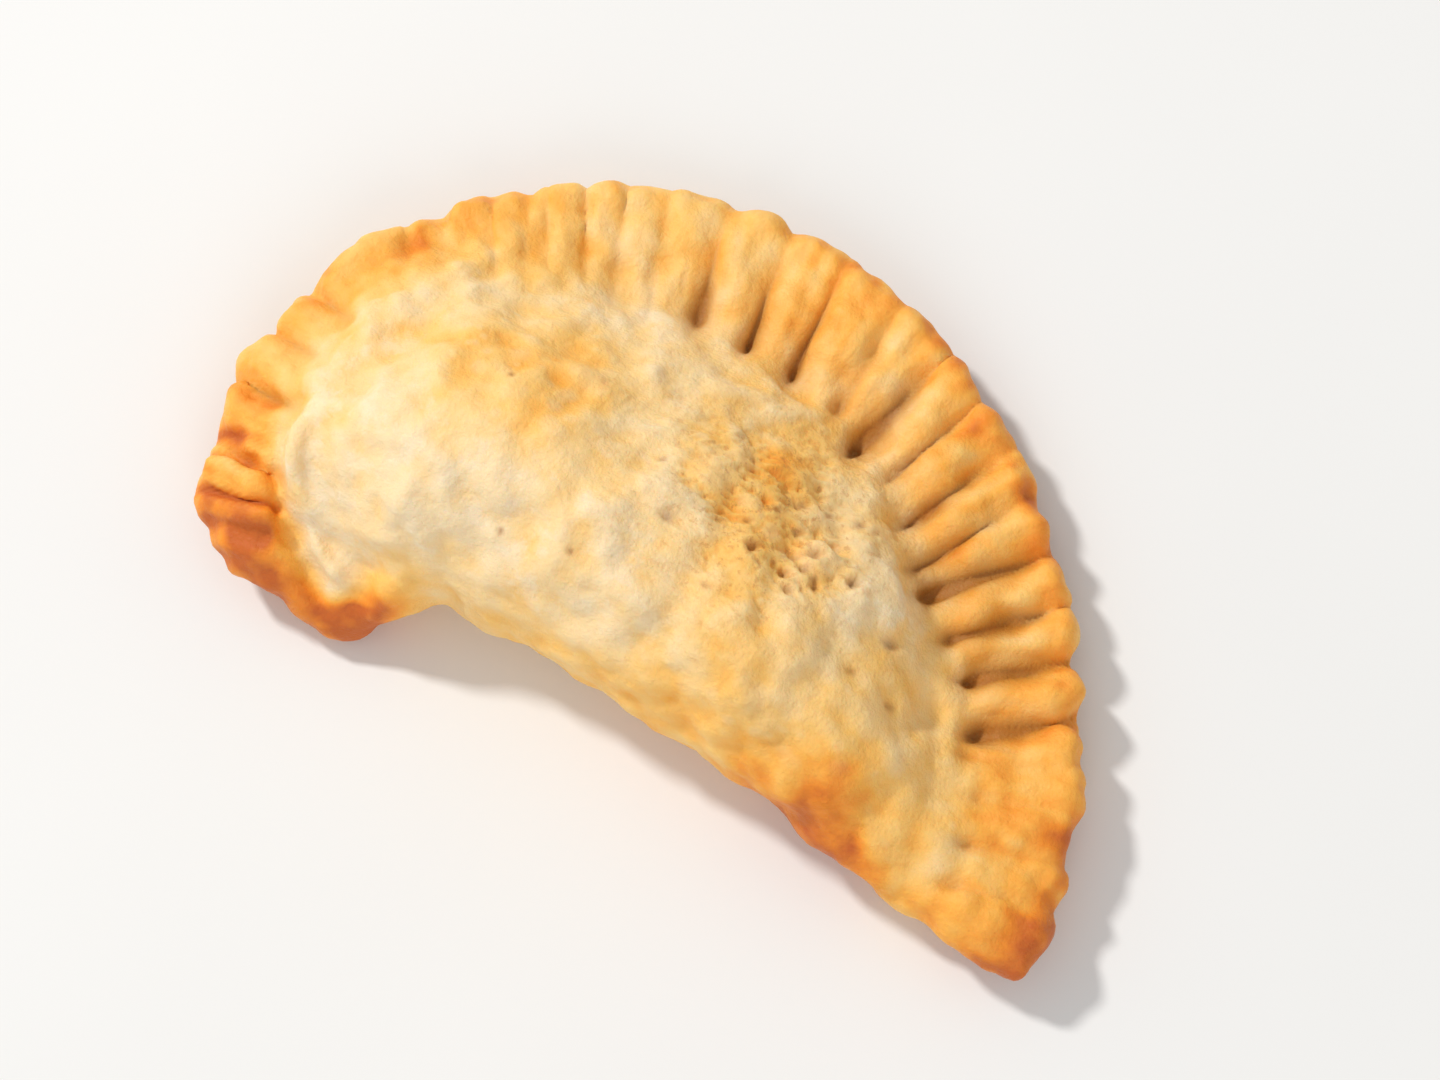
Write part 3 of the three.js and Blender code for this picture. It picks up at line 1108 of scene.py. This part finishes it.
    def calm(self, normal_z: Array, plan: PlanPoint, on_top: Array) -> Array:
        """Tell how much of the relief stays on steep slopes and on the face that rests.

        Args:
            normal_z: how far each vertex faces up.
            plan: where the vertices lie in plan.
            on_top: which vertices are on the top face.

        Returns:
            The share from 0 to 1.
        """
        inside = smoothstep(plan.inside, *self.calm_begins)
        level = smoothstep(normal_z, *self.calm_levels)
        resting = 1.0 - smoothstep(plan.inside, *self.rests_from)
        return blend(1.0, level, self.calm_slopes * inside) * np.where(on_top, 1.0, resting)


@dataclass(frozen=True)
class BrowningAndShade:
    """How deeply each part of the crust is baked, from 0 pale to 1 brown, with places in mm; some
    terms also paint shade onto the foot, fold edge, underside edge, pleats and hollows, and light
    onto the rim and a lump.
    """

    pale: float = 0.08
    right_side: float = 0.20
    right_side_rises: tuple[float, float] = (-18.0, 16.0)
    fold_left: float = 0.02
    fold_right: float = 0.28
    fold_rises: tuple[float, float] = (-4.0, 24.0)
    fold_reach: float = 6.0
    # the narrow band along the fold's edge: real browning and painted shade of the rolled-under
    # edge
    fold_edge_bake_and_shade: float = 0.22
    fold_edge_reach: float = 2.2
    fold_paler: float = 0.2
    fold_pales: tuple[float, float] = (26.0, 34.0)
    # the foot's flank: real browning with painted shade, and below it painted shade along its lower
    # edge
    foot: float = 0.68
    foot_above_line: float = 2.0
    foot_outside_rim: float = 2.0
    foot_edge_shade: float = 0.36
    foot_edge_reach: float = 2.5
    border_left: float = 0.48
    border_right: float = 0.26
    border_turns_right: tuple[float, float] = (34.0, 72.0)
    border_spread: float = 2.5
    border_ends: tuple[float, float] = (-4.0, 3.5)
    edge: float = 0.22
    edge_reach: float = 3.0
    groove: float = 0.10
    groove_reach: float = 9.0
    left_corner: Lump = Lump(-41.5, -6.5, 4.0, 0.14)
    # painted shade along the pinched pleats' creases
    pleat: float = 0.25
    # painted highlight: the rim's ridge is paler
    rim_highlight: float = 0.8
    rim_reach: float = 1.6
    underside: float = 0.76
    underside_begins: tuple[float, float] = (1.5, 8.0)
    # browner underside below the fold: tray browning and painted shade under the overhang
    under_fold_bake_and_shade: float = 0.34
    under_fold_reach: float = 5.0
    patches: tuple[Lump, ...] = (
        Lump(-17.7, 18.0, 8.0, 0.42),
        Lump(-8.0, 30.0, 5.0, 0.12),
        Lump(-28.0, 17.0, 8.0, 0.16),
        Lump(-1.3, 36.6, 4.0, 0.20),
        Lump(27.0, 22.6, 4.0, -0.20),
        Lump(2.0, 20.0, 6.5, 0.30),
        Lump(3.6, 22.2, 2.0, 0.30),
        Lump(9.0, 10.5, 7.0, 0.16),
        # paler lump: pale crust and painted light on its slope that faces away from the light
        Lump(16.5, 14.0, 4.0, -0.26),
        Lump(19.6, 10.8, 2.2, 0.30),
        # painted shade in the hollow between the dome and the border
        Lump(26.0, 10.0, 7.0, 0.08),
        Lump(8.6, -1.8, 6.0, -0.10),
        Lump(-28.8, -6.4, 2.8, -0.22),
        # browner notch by the foot: some browning and painted shade
        Lump(-21.8, -6.6, 3.0, 0.66),
        Lump(23.0, -1.9, 4.5, 0.28),
        Lump(31.0, -3.6, 3.5, -0.14),
        Lump(33.0, 2.5, 3.5, 0.12),
        Lump(36.0, 21.0, 5.0, -0.12),
        Lump(-19.0, 34.5, 8.0, -0.09),
        Lump(-41.0, 3.0, 4.0, 0.22),
        Lump(-40.0, 15.0, 4.0, -0.10),
        Lump(8.0, 35.0, 4.0, -0.16),
        Lump(44.0, -5.0, 6.0, 0.24),
        Lump(42.5, 8.5, 4.0, 0.14),
    )

    def fold_share(self, x: Array, from_fold: Array) -> Array:
        """Work out the browning of the fold: little at the left, more at the right, with a narrow
        band along its edge that is real browning and painted shade together.

        Args:
            x: along the fold.
            from_fold: distance in from the fold.

        Returns:
            The browning of each point.
        """
        fold = blend(self.fold_left, self.fold_right, smoothstep(x, *self.fold_rises))
        fold = fold * bell(from_fold / self.fold_reach)
        # browning and painted shade along the fold's edge
        fold += self.fold_edge_bake_and_shade * bell(from_fold / self.fold_edge_reach)
        return fold * (1.0 - self.fold_paler * smoothstep(x, *self.fold_pales))

    def foot_share(self, form: PastyForm, x: Array, y: Array, from_fold: Array) -> Array:
        """Work out the browning of the foot at the left, outside the dome's rim: real browning with
        painted shade on its steep flank, darkest along its lower edge.

        Args:
            form: the form that is baked.
            x: along the fold.
            y: from the fold.
            from_fold: distance in from the fold and its foot.

        Returns:
            The browning of each point.
        """
        _, outside, _ = form.rim.place(x, y)
        above = smoothstep(y - form.fold.line(x), -self.foot_above_line, self.foot_above_line)
        flank = form.fold.foot_share(x) * (1.0 - above)
        flank *= smoothstep(outside, 0.0, self.foot_outside_rim)
        # browning with painted shade on the flank, and painted shade along its lower edge
        return flank * (self.foot + self.foot_edge_shade * bell(from_fold / self.foot_edge_reach))

    def border_share(self, form: PastyForm, plan: PlanPoint) -> Array:
        """Work out the browning of the border: all of it at the left, its edge at the right.

        Args:
            form: the form that is baked.
            plan: where the points lie between the edges.

        Returns:
            The browning of each point.
        """
        inward = np.maximum(plan.inward, 0.0)
        at_right = smoothstep(plan.walked, *self.border_turns_right)
        spread = self.border_spread * (1.0 - at_right)
        past_border = inward - form.border.width(plan.walked) - spread
        border = blend(self.border_left, self.border_right, at_right)
        border *= 1.0 - smoothstep(past_border, *self.border_ends)
        return border + self.edge * at_right * bell(inward / self.edge_reach)

    def share(self, form: PastyForm, x: Array, y: Array, on_top: Array, groove: Array) -> Array:
        """Work out the browning of the whole crust, with its painted shade and painted light.

        Args:
            form: the form that is baked.
            x: along the fold.
            y: from the fold.
            on_top: which points are on the top face.
            groove: how far the fork pressed each point.

        Returns:
            The browning of each point.
        """
        plan = form.plan_at(x, y)
        inward = np.maximum(plan.inward, 0.0)
        inside = np.maximum(plan.inside, 0.0)
        from_fold = np.maximum(plan.from_fold, 0.0)
        edges = np.maximum(self.border_share(form, plan), self.fold_share(x, from_fold))
        edges = np.maximum(edges, self.foot_share(form, x, y, from_fold))
        browned = self.pale + self.right_side * smoothstep(x, *self.right_side_rises)
        browned += edges + self.groove * groove * bell(inward / self.groove_reach)
        browned += self.left_corner.swell(x, y)
        # painted shade in the pleats' creases
        browned += self.pleat * form.pleat_depth(x, y)
        for patch in self.patches:
            browned += patch.swell(x, y)
        # painted highlight along the rim's ridge
        rim_share, outside, _ = form.rim.place(x, y)
        browned *= 1.0 - self.rim_highlight * rim_share * bell(outside / self.rim_reach)
        lowered = round_over(inside / form.fold_under_rounding)
        # the underside below the fold gets browning and painted shade under the overhang
        under = browned + self.under_fold_bake_and_shade * (bell(from_fold / self.under_fold_reach) * lowered)
        under = blend(under, self.underside, smoothstep(inside, *self.underside_begins))
        return np.clip(np.where(on_top, browned, under), 0.0, 1.0)


@dataclass(frozen=True)
class Pattern:
    """Noise: the length of its bumps in mm, its finer layers and how strong they are."""

    bump_mm: float
    detail: float = 3.0
    roughness: float = 0.55


class ShaderTree:
    """Adds and wires the nodes of one material."""

    def __init__(self, name: str) -> None:
        """Start an empty material with a Principled shader.

        Args:
            name: the material's name.
        """
        self.material = bpy.data.materials.new(name)
        self.material.use_nodes = True
        self.tree = self.material.node_tree
        self.shader = self.tree.nodes["Principled BSDF"]
        self.place = self.tree.nodes.new("ShaderNodeTexCoord").outputs["Object"]

    def wire(self, value: object, socket: bpy.types.NodeSocket) -> None:
        """Feed a socket.

        Args:
            value: a number, a colour or another node's output.
            socket: the input that takes it.
        """
        if isinstance(value, bpy.types.NodeSocket):
            self.tree.links.new(value, socket)
        else:
            socket.default_value = value

    def layer(self, layer: Layer) -> bpy.types.NodeSocket:
        """Read a mesh attribute.

        Args:
            layer: the attribute.

        Returns:
            Its value.
        """
        node = self.tree.nodes.new("ShaderNodeAttribute")
        node.attribute_name = layer.value
        return node.outputs["Fac"]

    def noise(self, pattern: Pattern) -> bpy.types.NodeSocket:
        """Add noise.

        Args:
            pattern: what it looks like.

        Returns:
            The output, about 0.5 on average.
        """
        node = self.tree.nodes.new("ShaderNodeTexNoise")
        self.wire(self.place, node.inputs["Vector"])
        node.inputs["Scale"].default_value = 1.0 / (pattern.bump_mm * MM)
        node.inputs["Detail"].default_value = pattern.detail
        node.inputs["Roughness"].default_value = pattern.roughness
        return node.outputs["Fac"]

    def cells(self, size_mm: float) -> bpy.types.NodeSocket:
        """Scatter points.

        Args:
            size_mm: how far apart they are.

        Returns:
            The distance from the nearest one.
        """
        node = self.tree.nodes.new("ShaderNodeTexVoronoi")
        self.wire(self.place, node.inputs["Vector"])
        node.inputs["Scale"].default_value = 1.0 / (size_mm * MM)
        return node.outputs["Distance"]

    def maths(self, sum_of: Sum, first: object, second: object) -> bpy.types.NodeSocket:
        """Add a sum of two values.

        Args:
            sum_of: the kind of sum.
            first: a number or an output.
            second: a number or an output.

        Returns:
            The result.
        """
        node = self.tree.nodes.new("ShaderNodeMath")
        node.operation = sum_of.value
        self.wire(first, node.inputs[0])
        self.wire(second, node.inputs[1])
        return node.outputs["Value"]

    def plus(self, first: object, second: object) -> bpy.types.NodeSocket:
        """Return the sum of two values."""
        return self.maths(Sum.PLUS, first, second)

    def times(self, first: object, second: object) -> bpy.types.NodeSocket:
        """Return the product of two values."""
        return self.maths(Sum.TIMES, first, second)

    def waver(self, pattern: Pattern, share: float) -> bpy.types.NodeSocket:
        """Return noise that goes both ways from 0, as strong as the share says."""
        return self.times(self.maths(Sum.MINUS, self.noise(pattern), 0.5), share)

    def between(
        self, value: object, low: float, high: float, to: float = 1.0
    ) -> bpy.types.NodeSocket:
        """Add a smooth step.

        Args:
            value: what is stepped.
            low: value at which the step is 0.
            high: value at which the step ends.
            to: height of the step.

        Returns:
            The step.
        """
        node = self.tree.nodes.new("ShaderNodeMapRange")
        node.interpolation_type = "SMOOTHSTEP"
        self.wire(value, node.inputs["Value"])
        node.inputs["From Min"].default_value = low
        node.inputs["From Max"].default_value = high
        node.inputs["To Max"].default_value = to
        return node.outputs["Result"]

    def tint(self, share: object, below: object, above: object) -> bpy.types.NodeSocket:
        """Mix one colour over another.

        Args:
            share: how much of the upper colour shows.
            below: the lower colour.
            above: the upper colour.

        Returns:
            The mixed colour.
        """
        node = self.tree.nodes.new("ShaderNodeMix")
        node.data_type = "RGBA"
        colours = [socket for socket in node.inputs if socket.type == "RGBA"]
        self.wire(share, node.inputs["Factor"])
        self.wire(below, colours[0])
        self.wire(above, colours[1])
        return next(socket for socket in node.outputs if socket.type == "RGBA")

    def ramp(self, value: object, stops: tuple[Stop, ...]) -> bpy.types.NodeSocket:
        """Add a colour ramp.

        Args:
            value: place along the ramp, from 0 to 1.
            stops: the places and colours between which it blends.

        Returns:
            The colour.
        """
        node = self.tree.nodes.new("ShaderNodeValToRGB")
        elements = node.color_ramp.elements
        while len(elements) < len(stops):
            elements.new(0.5)
        for element, (position, colour) in zip(elements, stops):
            element.position = position
            element.color = colour
        self.wire(value, node.inputs["Fac"])
        return node.outputs["Color"]

    def bump(self, height: object, distance_mm: float, strength: float) -> None:
        """Wire a bump into the shader's normal.

        Args:
            height: the height from 0 to 1.
            distance_mm: how high 1 is.
            strength: how strongly it tilts the surface.
        """
        node = self.tree.nodes.new("ShaderNodeBump")
        node.inputs["Strength"].default_value = strength
        node.inputs["Distance"].default_value = distance_mm * MM
        self.wire(height, node.inputs["Height"])
        self.wire(node.outputs["Normal"], self.shader.inputs["Normal"])


@dataclass(frozen=True)
class BakedCrust:
    """The crust's colours and finish, with painted shade in its grooves and hollows, and the sizes
    of its spots in mm.
    """

    bake: tuple[Stop, ...] = (
        (0.0, display_colour(244, 218, 173)),
        (0.2, display_colour(250, 212, 149)),
        (0.42, display_colour(253, 199, 112)),
        (0.62, display_colour(252, 179, 77)),
        (0.82, display_colour(240, 145, 46)),
        (1.0, display_colour(202, 104, 40)),
    )
    blotches: Pattern = Pattern(7.5)
    blotch_share: float = 0.75
    mottles: Pattern = Pattern(2.4, 2.0, 0.5)
    mottle_share: float = 0.3
    # painted shade in the crust's hollows and painted light on its ridges, read from the rough
    # layer
    hollow_shade_share: float = -0.16
    streak_share: float = 0.07
    # painted shade: a dark orange-brown laid into groove floors, tine holes and pits
    pressed: Colour = display_colour(154, 86, 14)
    pressed_shade_share: float = 0.8
    speck: Colour = display_colour(190, 126, 62)
    specks: Pattern = Pattern(0.9, 3.0, 0.7)
    speck_levels: tuple[float, float] = (0.54, 0.68)
    speck_share: float = 0.6
    dot_mm: float = 4.2
    dot_levels: tuple[float, float] = (0.13, 0.05)
    dot_share: float = 0.5
    # pale blister tops: a lighter tone that is partly painted highlight
    fleck: Colour = display_colour(244, 218, 170)
    fleck_levels: tuple[float, float] = (0.35, 1.0)
    fleck_share: float = 0.3
    fleck_bakes_away: tuple[float, float] = (0.75, 0.35)
    flour: Colour = display_colour(246, 228, 196)
    dusting: Pattern = Pattern(3.2, 4.0, 0.6)
    flour_levels: tuple[float, float] = (0.5, 0.66)
    flour_share: float = 0.55
    flour_bakes_away: tuple[float, float] = (0.35, 0.1)
    roughness: float = 0.5
    wear: Pattern = Pattern(2.4)
    wear_share: float = 0.25
    gloss: float = 0.25
    scatter: float = 0.3
    scatter_mm: float = 1.6
    scatter_reach: tuple[float, float, float] = (1.0, 0.55, 0.3)
    grain: Pattern = Pattern(0.5, 4.0, 0.6)
    bubbles: Pattern = Pattern(1.3)
    bubble_share: float = 0.8
    bump_mm: float = 0.26
    bump_strength: float = 0.7

    def browning(self, tree: ShaderTree) -> bpy.types.NodeSocket:
        """Make the browning blotchy, paler on ridges and browner in hollows: painted light on the
        ridges and painted shade in the hollows.

        Args:
            tree: the material's nodes.

        Returns:
            The browning, about 0 to 1.
        """
        blotches = tree.waver(self.blotches, self.blotch_share)
        mottles = tree.waver(self.mottles, self.mottle_share)
        # painted shade in hollows, painted light on ridges
        hollows = tree.times(tree.layer(Layer.ROUGH), self.hollow_shade_share)
        streaks = tree.times(tree.layer(Layer.STREAKED), self.streak_share)
        uneven = tree.plus(tree.plus(blotches, mottles), tree.plus(hollows, streaks))
        return tree.plus(tree.layer(Layer.BROWNED_AND_SHADED), uneven)

    def with_specks(self, tree: ShaderTree, crust: object) -> bpy.types.NodeSocket:
        """Lay the sandy patch's specks and dots over the crust.

        Args:
            tree: the material's nodes.
            crust: the colour under them.

        Returns:
            The colour with them.
        """
        sandy = tree.layer(Layer.SANDY)
        grit = tree.between(tree.noise(self.specks), *self.speck_levels)
        specks = tree.times(grit, tree.times(sandy, self.speck_share))
        specked = tree.tint(specks, crust, self.speck)
        dots = tree.between(tree.cells(self.dot_mm), *self.dot_levels)
        return tree.tint(tree.times(dots, tree.times(sandy, self.dot_share)), specked, self.speck)

    def with_pale_spots(self, tree: ShaderTree, crust: object) -> bpy.types.NodeSocket:
        """Lay pale blister tops, partly painted highlight, and unbaked, floury spots over the
        crust.

        Args:
            tree: the material's nodes.
            crust: the colour under them.

        Returns:
            The colour with them.
        """
        browned = tree.layer(Layer.BROWNED_AND_SHADED)
        # pale tops, partly painted highlight
        tops = tree.between(tree.layer(Layer.BLISTERED), *self.fleck_levels, self.fleck_share)
        pale_tops = tree.times(tops, tree.between(browned, *self.fleck_bakes_away))
        flecked = tree.tint(pale_tops, crust, self.fleck)
        dusted = tree.between(tree.noise(self.dusting), *self.flour_levels, self.flour_share)
        floury = tree.times(dusted, tree.between(browned, *self.flour_bakes_away))
        return tree.tint(floury, flecked, self.flour)

    def colour(self, tree: ShaderTree) -> bpy.types.NodeSocket:
        """Colour the crust by its browning, paint shade into the grooves, holes and pits, and add
        its spots.

        Args:
            tree: the material's nodes.

        Returns:
            The colour.
        """
        baked = tree.ramp(self.browning(tree), self.bake)
        # painted shade in the grooves, holes and pits
        deep = tree.times(tree.layer(Layer.SHADED_HOLLOWS), self.pressed_shade_share)
        pressed = tree.tint(deep, baked, self.pressed)
        return self.with_pale_spots(tree, self.with_specks(tree, pressed))

    def material(self) -> bpy.types.Material:
        """Make the material.

        Returns:
            The finished material.
        """
        tree = ShaderTree("baked_crust")
        shader = tree.shader
        tree.wire(self.colour(tree), shader.inputs["Base Color"])
        worn = tree.waver(self.wear, self.wear_share)
        tree.wire(tree.plus(worn, self.roughness), shader.inputs["Roughness"])
        shader.inputs["Specular IOR Level"].default_value = self.gloss
        shader.inputs["Subsurface Weight"].default_value = self.scatter
        shader.inputs["Subsurface Radius"].default_value = self.scatter_reach
        shader.inputs["Subsurface Scale"].default_value = self.scatter_mm * MM
        bubbles = tree.times(tree.noise(self.bubbles), self.bubble_share)
        fine = tree.plus(tree.noise(self.grain), bubbles)
        tree.bump(fine, self.bump_mm, self.bump_strength)
        return tree.material


@dataclass(frozen=True)
class MatteCard:
    """A plain pale surface."""

    name: str
    colour: Colour
    roughness: float = 0.85
    gloss: float = 0.1
    clouds: Pattern = Pattern(60.0, 2.0)
    cloud_levels: tuple[float, float] = (0.3, 0.7)
    cloud_shade: float = 0.985

    def material(self) -> bpy.types.Material:
        """Make the material.

        Returns:
            The finished material.
        """
        tree = ShaderTree(self.name)
        cloud = tree.between(tree.noise(self.clouds), *self.cloud_levels)
        shaded = (*(self.cloud_shade * channel for channel in self.colour[:3]), 1.0)
        tree.wire(tree.tint(cloud, shaded, self.colour), tree.shader.inputs["Base Color"])
        tree.shader.inputs["Roughness"].default_value = self.roughness
        tree.shader.inputs["Specular IOR Level"].default_value = self.gloss
        return tree.material


@dataclass
class Pasty:
    """The sambousek: a drawn-out sphere with the form's heights and the crust's relief."""

    form: PastyForm
    layout: MeshLayout
    relief: CrustRelief
    browning: BrowningAndShade
    crust: BakedCrust
    name: str = "fine_sambousek"
    node: str = "sambousek"
    material_slot: str = "pastry"

    def grid_places(self, mesh: bmesh.types.BMesh) -> tuple[Array, Array]:
        """Read each vertex's column and row from its place on the unit sphere.

        Args:
            mesh: the unit sphere.

        Returns:
            The column and the row of each vertex.
        """
        unit = np.array([vert.co for vert in mesh.verts])
        turn = np.arctan2(unit[:, 1], unit[:, 0]) / (2 * math.pi)
        columns = np.rint(turn * self.layout.columns).astype(int) % self.layout.columns
        rows_in_all = self.layout.top_rows + self.layout.under_rows
        polar = np.arccos(np.clip(unit[:, 2], -1.0, 1.0)) / math.pi
        return columns, np.rint(polar * rows_in_all).astype(int)

    def draw_out(self, mesh: bmesh.types.BMesh) -> tuple[Array, Array, Array]:
        """Draw the sphere out to the form.

        Args:
            mesh: a unit sphere with the layout's columns and rows.

        Returns:
            The plan's x and y of each vertex in mm, and whether it is on the top.
        """
        columns, rows = self.grid_places(mesh)
        ends = self.layout.column_ends(self.form)[columns]
        outward, on_top = self.layout.outward(rows)
        middle = np.array(self.layout.middle)
        places = middle + (ends - middle) * outward[:, None]
        x, y = places[:, 0], places[:, 1]
        heights = self.form.heights(x, y)
        z = np.where(on_top, heights[Side.TOP], heights[Side.UNDER])
        for vert, co in zip(mesh.verts, np.stack([x, y, z], axis=1)):
            vert.co = co
        return x, y, on_top

    def press_and_blister(
        self, mesh: bmesh.types.BMesh, x: Array, y: Array, on_top: Array
    ) -> dict[Layer, Array]:
        """Raise the relief along the normals.

        Args:
            mesh: the drawn-out mesh in mm.
            x: along the fold.
            y: from the fold.
            on_top: which vertices are on the top face.

        Returns:
            The values of each attribute.
        """
        form, relief = self.form, self.relief
        plan = form.plan_at(x, y)
        inward = np.maximum(plan.inward, 0.0)
        groove, hole = form.pressed_at(plan.walked, inward, plan.radius)
        pressed = relief.pressed_shade_share(groove, hole, inward) * on_top
        sandy = relief.sandy_share(x, y) * on_top
        corner = relief.corner_share(x, y)
        past_border = inward - form.border.width(plan.walked)
        on_dome = smoothstep(past_border, *relief.dome_begins) * on_top
        mesh.normal_update()
        points = np.array([vert.co for vert in mesh.verts])
        normal_z = np.array([vert.normal.z for vert in mesh.verts])
        blister, blistered = relief.blister_field(points, on_top, sandy)
        height, rough = relief.height_at(points, sandy, pressed)
        height += blister * blend(relief.blisters_on_border, 1.0, on_dome)
        pit_depth, pit = relief.pit_field(x, y, on_dome)
        streaked = relief.streaks(plan.walked, inward) * (1.0 - on_dome) * on_top
        streak_height = relief.streak_height + relief.corner_streaks * corner
        height += streak_height * streaked * smoothstep(inward, *relief.streak_begins) - pit_depth
        height += relief.bead_field(form.rim, x, y)
        height *= relief.calm(normal_z, plan, on_top)
        for vert, rise in zip(mesh.verts, height):
            vert.co += vert.normal * float(rise)
        return {
            Layer.BROWNED_AND_SHADED: self.browning.share(form, x, y, on_top, groove),
            # where shade is painted: groove floors, tine holes and pits
            Layer.SHADED_HOLLOWS: np.maximum(pressed, relief.pit_shade * pit),
            Layer.BLISTERED: blistered * on_dome,
            Layer.SANDY: sandy,
            Layer.STREAKED: streaked * (1.0 - relief.corner_browned * corner),
            Layer.ROUGH: rough * on_top,
        }

    def settle(self, mesh: bmesh.types.BMesh) -> None:
        """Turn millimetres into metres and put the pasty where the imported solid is.

        Args:
            mesh: the finished mesh in mm.
        """
        points = np.array([vert.co for vert in mesh.verts]) * MM
        low, high = points.min(axis=0), points.max(axis=0)
        cad_low, cad_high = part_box(self.node)
        wanted = (np.array(cad_low) + np.array(cad_high)) / 2
        shift = wanted - (low + high) / 2
        shift[2] = cad_low[2] - low[2]
        for vert, co in zip(mesh.verts, points + shift):
            vert.co = co

    def build(self) -> bpy.types.Object:
        """Build the pasty, dress it and let it ride on its body.

        Returns:
            The finished piece.
        """
        mesh = bmesh.new()
        bmesh.ops.create_uvsphere(
            mesh,
            u_segments=self.layout.columns,
            v_segments=self.layout.top_rows + self.layout.under_rows,
            radius=1.0,
        )
        x, y, on_top = self.draw_out(mesh)
        layers = self.press_and_blister(mesh, x, y, on_top)
        self.settle(mesh)
        bmesh.ops.recalc_face_normals(mesh, faces=mesh.faces)
        for face in mesh.faces:
            face.smooth = True
        data = bpy.data.meshes.new(self.name)
        mesh.to_mesh(data)
        mesh.free()
        for layer, values in layers.items():
            attribute = data.attributes.new(layer.value, "FLOAT", "POINT")
            attribute.data.foreach_set("value", values.astype(np.float32))
        data.materials.append(self.crust.material())
        piece = bpy.data.objects.new(self.name, data)
        bpy.context.scene.collection.objects.link(piece)
        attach(piece, "root")
        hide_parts(self.node)
        return piece


def direction(turn: float, rise: float) -> Vector:
    """Return the unit vector that points a turn round from +X and a rise up, in radians."""
    flat = math.cos(rise)
    return Vector((math.cos(turn) * flat, math.sin(turn) * flat, math.sin(rise)))


@dataclass(frozen=True)
class Lamp:
    """A soft round lamp: where it hangs in degrees, its size in m and its power in W."""

    name: str
    azimuth: float
    elevation: float
    size: float
    watts: float


@dataclass
class Studio:
    """A plain pale floor, a soft key light from the left, a fill and a camera that looks down."""

    azimuth: float = 30.5
    elevation: float = 74.0
    lens_mm: float = 110.0
    filled_width: float = 0.6
    aim_lower_mm: float = 4.0
    nearest: float = 0.01
    floor_size: float = 6.0
    floor: MatteCard = MatteCard("pale_floor", display_colour(238, 238, 237))
    sky: Colour = (1.0, 1.0, 1.0, 1.0)
    sky_strength: float = 0.52
    lamp_distance: float = 1.2
    lamps: tuple[Lamp, ...] = (
        Lamp("key", 172.0, 45.0, 0.14, 9.3),
        Lamp("fill", 300.0, 35.0, 0.8, 3.0),
    )
    lamp_colour: tuple[float, float, float] = (1.0, 0.98, 0.95)

    def add_floor(self) -> None:
        """Lay the floor just under the pasty."""
        mesh = bmesh.new()
        bmesh.ops.create_grid(mesh, x_segments=2, y_segments=2, size=self.floor_size / 2)
        data = bpy.data.meshes.new("floor")
        mesh.to_mesh(data)
        mesh.free()
        data.materials.append(self.floor.material())
        floor = bpy.data.objects.new("floor", data)
        bpy.context.scene.collection.objects.link(floor)

    def hang(self, lamp: Lamp) -> None:
        """Hang one lamp, turned towards the pasty.

        Args:
            lamp: the lamp to hang.
        """
        way = direction(math.radians(lamp.azimuth), math.radians(lamp.elevation))
        light = bpy.data.lights.new(lamp.name, "AREA")
        light.shape = "DISK"
        light.size = lamp.size
        light.energy = lamp.watts
        light.color = self.lamp_colour
        hung = bpy.data.objects.new(lamp.name, light)
        hung.location = way * self.lamp_distance
        hung.rotation_euler = way.to_track_quat("Z", "Y").to_euler()
        bpy.context.scene.collection.objects.link(hung)

    def add_lights(self) -> None:
        """Hang the lamps and set the sky."""
        for lamp in self.lamps:
            self.hang(lamp)
        world = bpy.data.worlds.new("soft_sky")
        world.use_nodes = True
        background = world.node_tree.nodes["Background"]
        background.inputs["Color"].default_value = self.sky
        background.inputs["Strength"].default_value = self.sky_strength
        bpy.context.scene.world = world

    def add_camera(self) -> None:
        """Aim the camera at the pasty so that it fills the wanted share of the width."""
        data = bpy.data.cameras.new("camera")
        data.lens = self.lens_mm
        camera = bpy.data.objects.new("camera", data)
        bpy.context.scene.collection.objects.link(camera)
        low, high = cad_box
        turn = math.radians(self.azimuth)
        rise = math.radians(self.elevation)
        back = direction(turn - math.pi / 2, rise)
        up = direction(turn + math.pi / 2, math.pi / 2 - rise)
        width = (high.x - low.x) * math.cos(turn)
        half_angle = math.atan(data.sensor_width / 2 / data.lens)
        distance = width / self.filled_width / 2 / math.tan(half_angle)
        aim = (low + high) / 2 - up * self.aim_lower_mm * MM
        camera.location = aim + back * distance
        camera.rotation_euler = back.to_track_quat("Z", "Y").to_euler()
        data.clip_start = self.nearest
        bpy.context.scene.camera = camera

    def build(self) -> None:
        """Set up the whole studio."""
        self.add_camera()
        self.add_floor()
        self.add_lights()
        bpy.context.scene.view_settings.view_transform = "Standard"


def main() -> None:
    """Build the studio and the pasty, and report each piece."""
    logging.basicConfig(level=logging.INFO, format="%(name)s: %(message)s")
    Studio().build()
    LOG.info("studio built")
    pasty = Pasty(PastyForm(), MeshLayout(), CrustRelief(), BrowningAndShade(), BakedCrust())
    piece = pasty.build()
    LOG.info("%s has %d vertices", piece.name, len(piece.data.vertices))


if __name__ == "__main__":
    main()
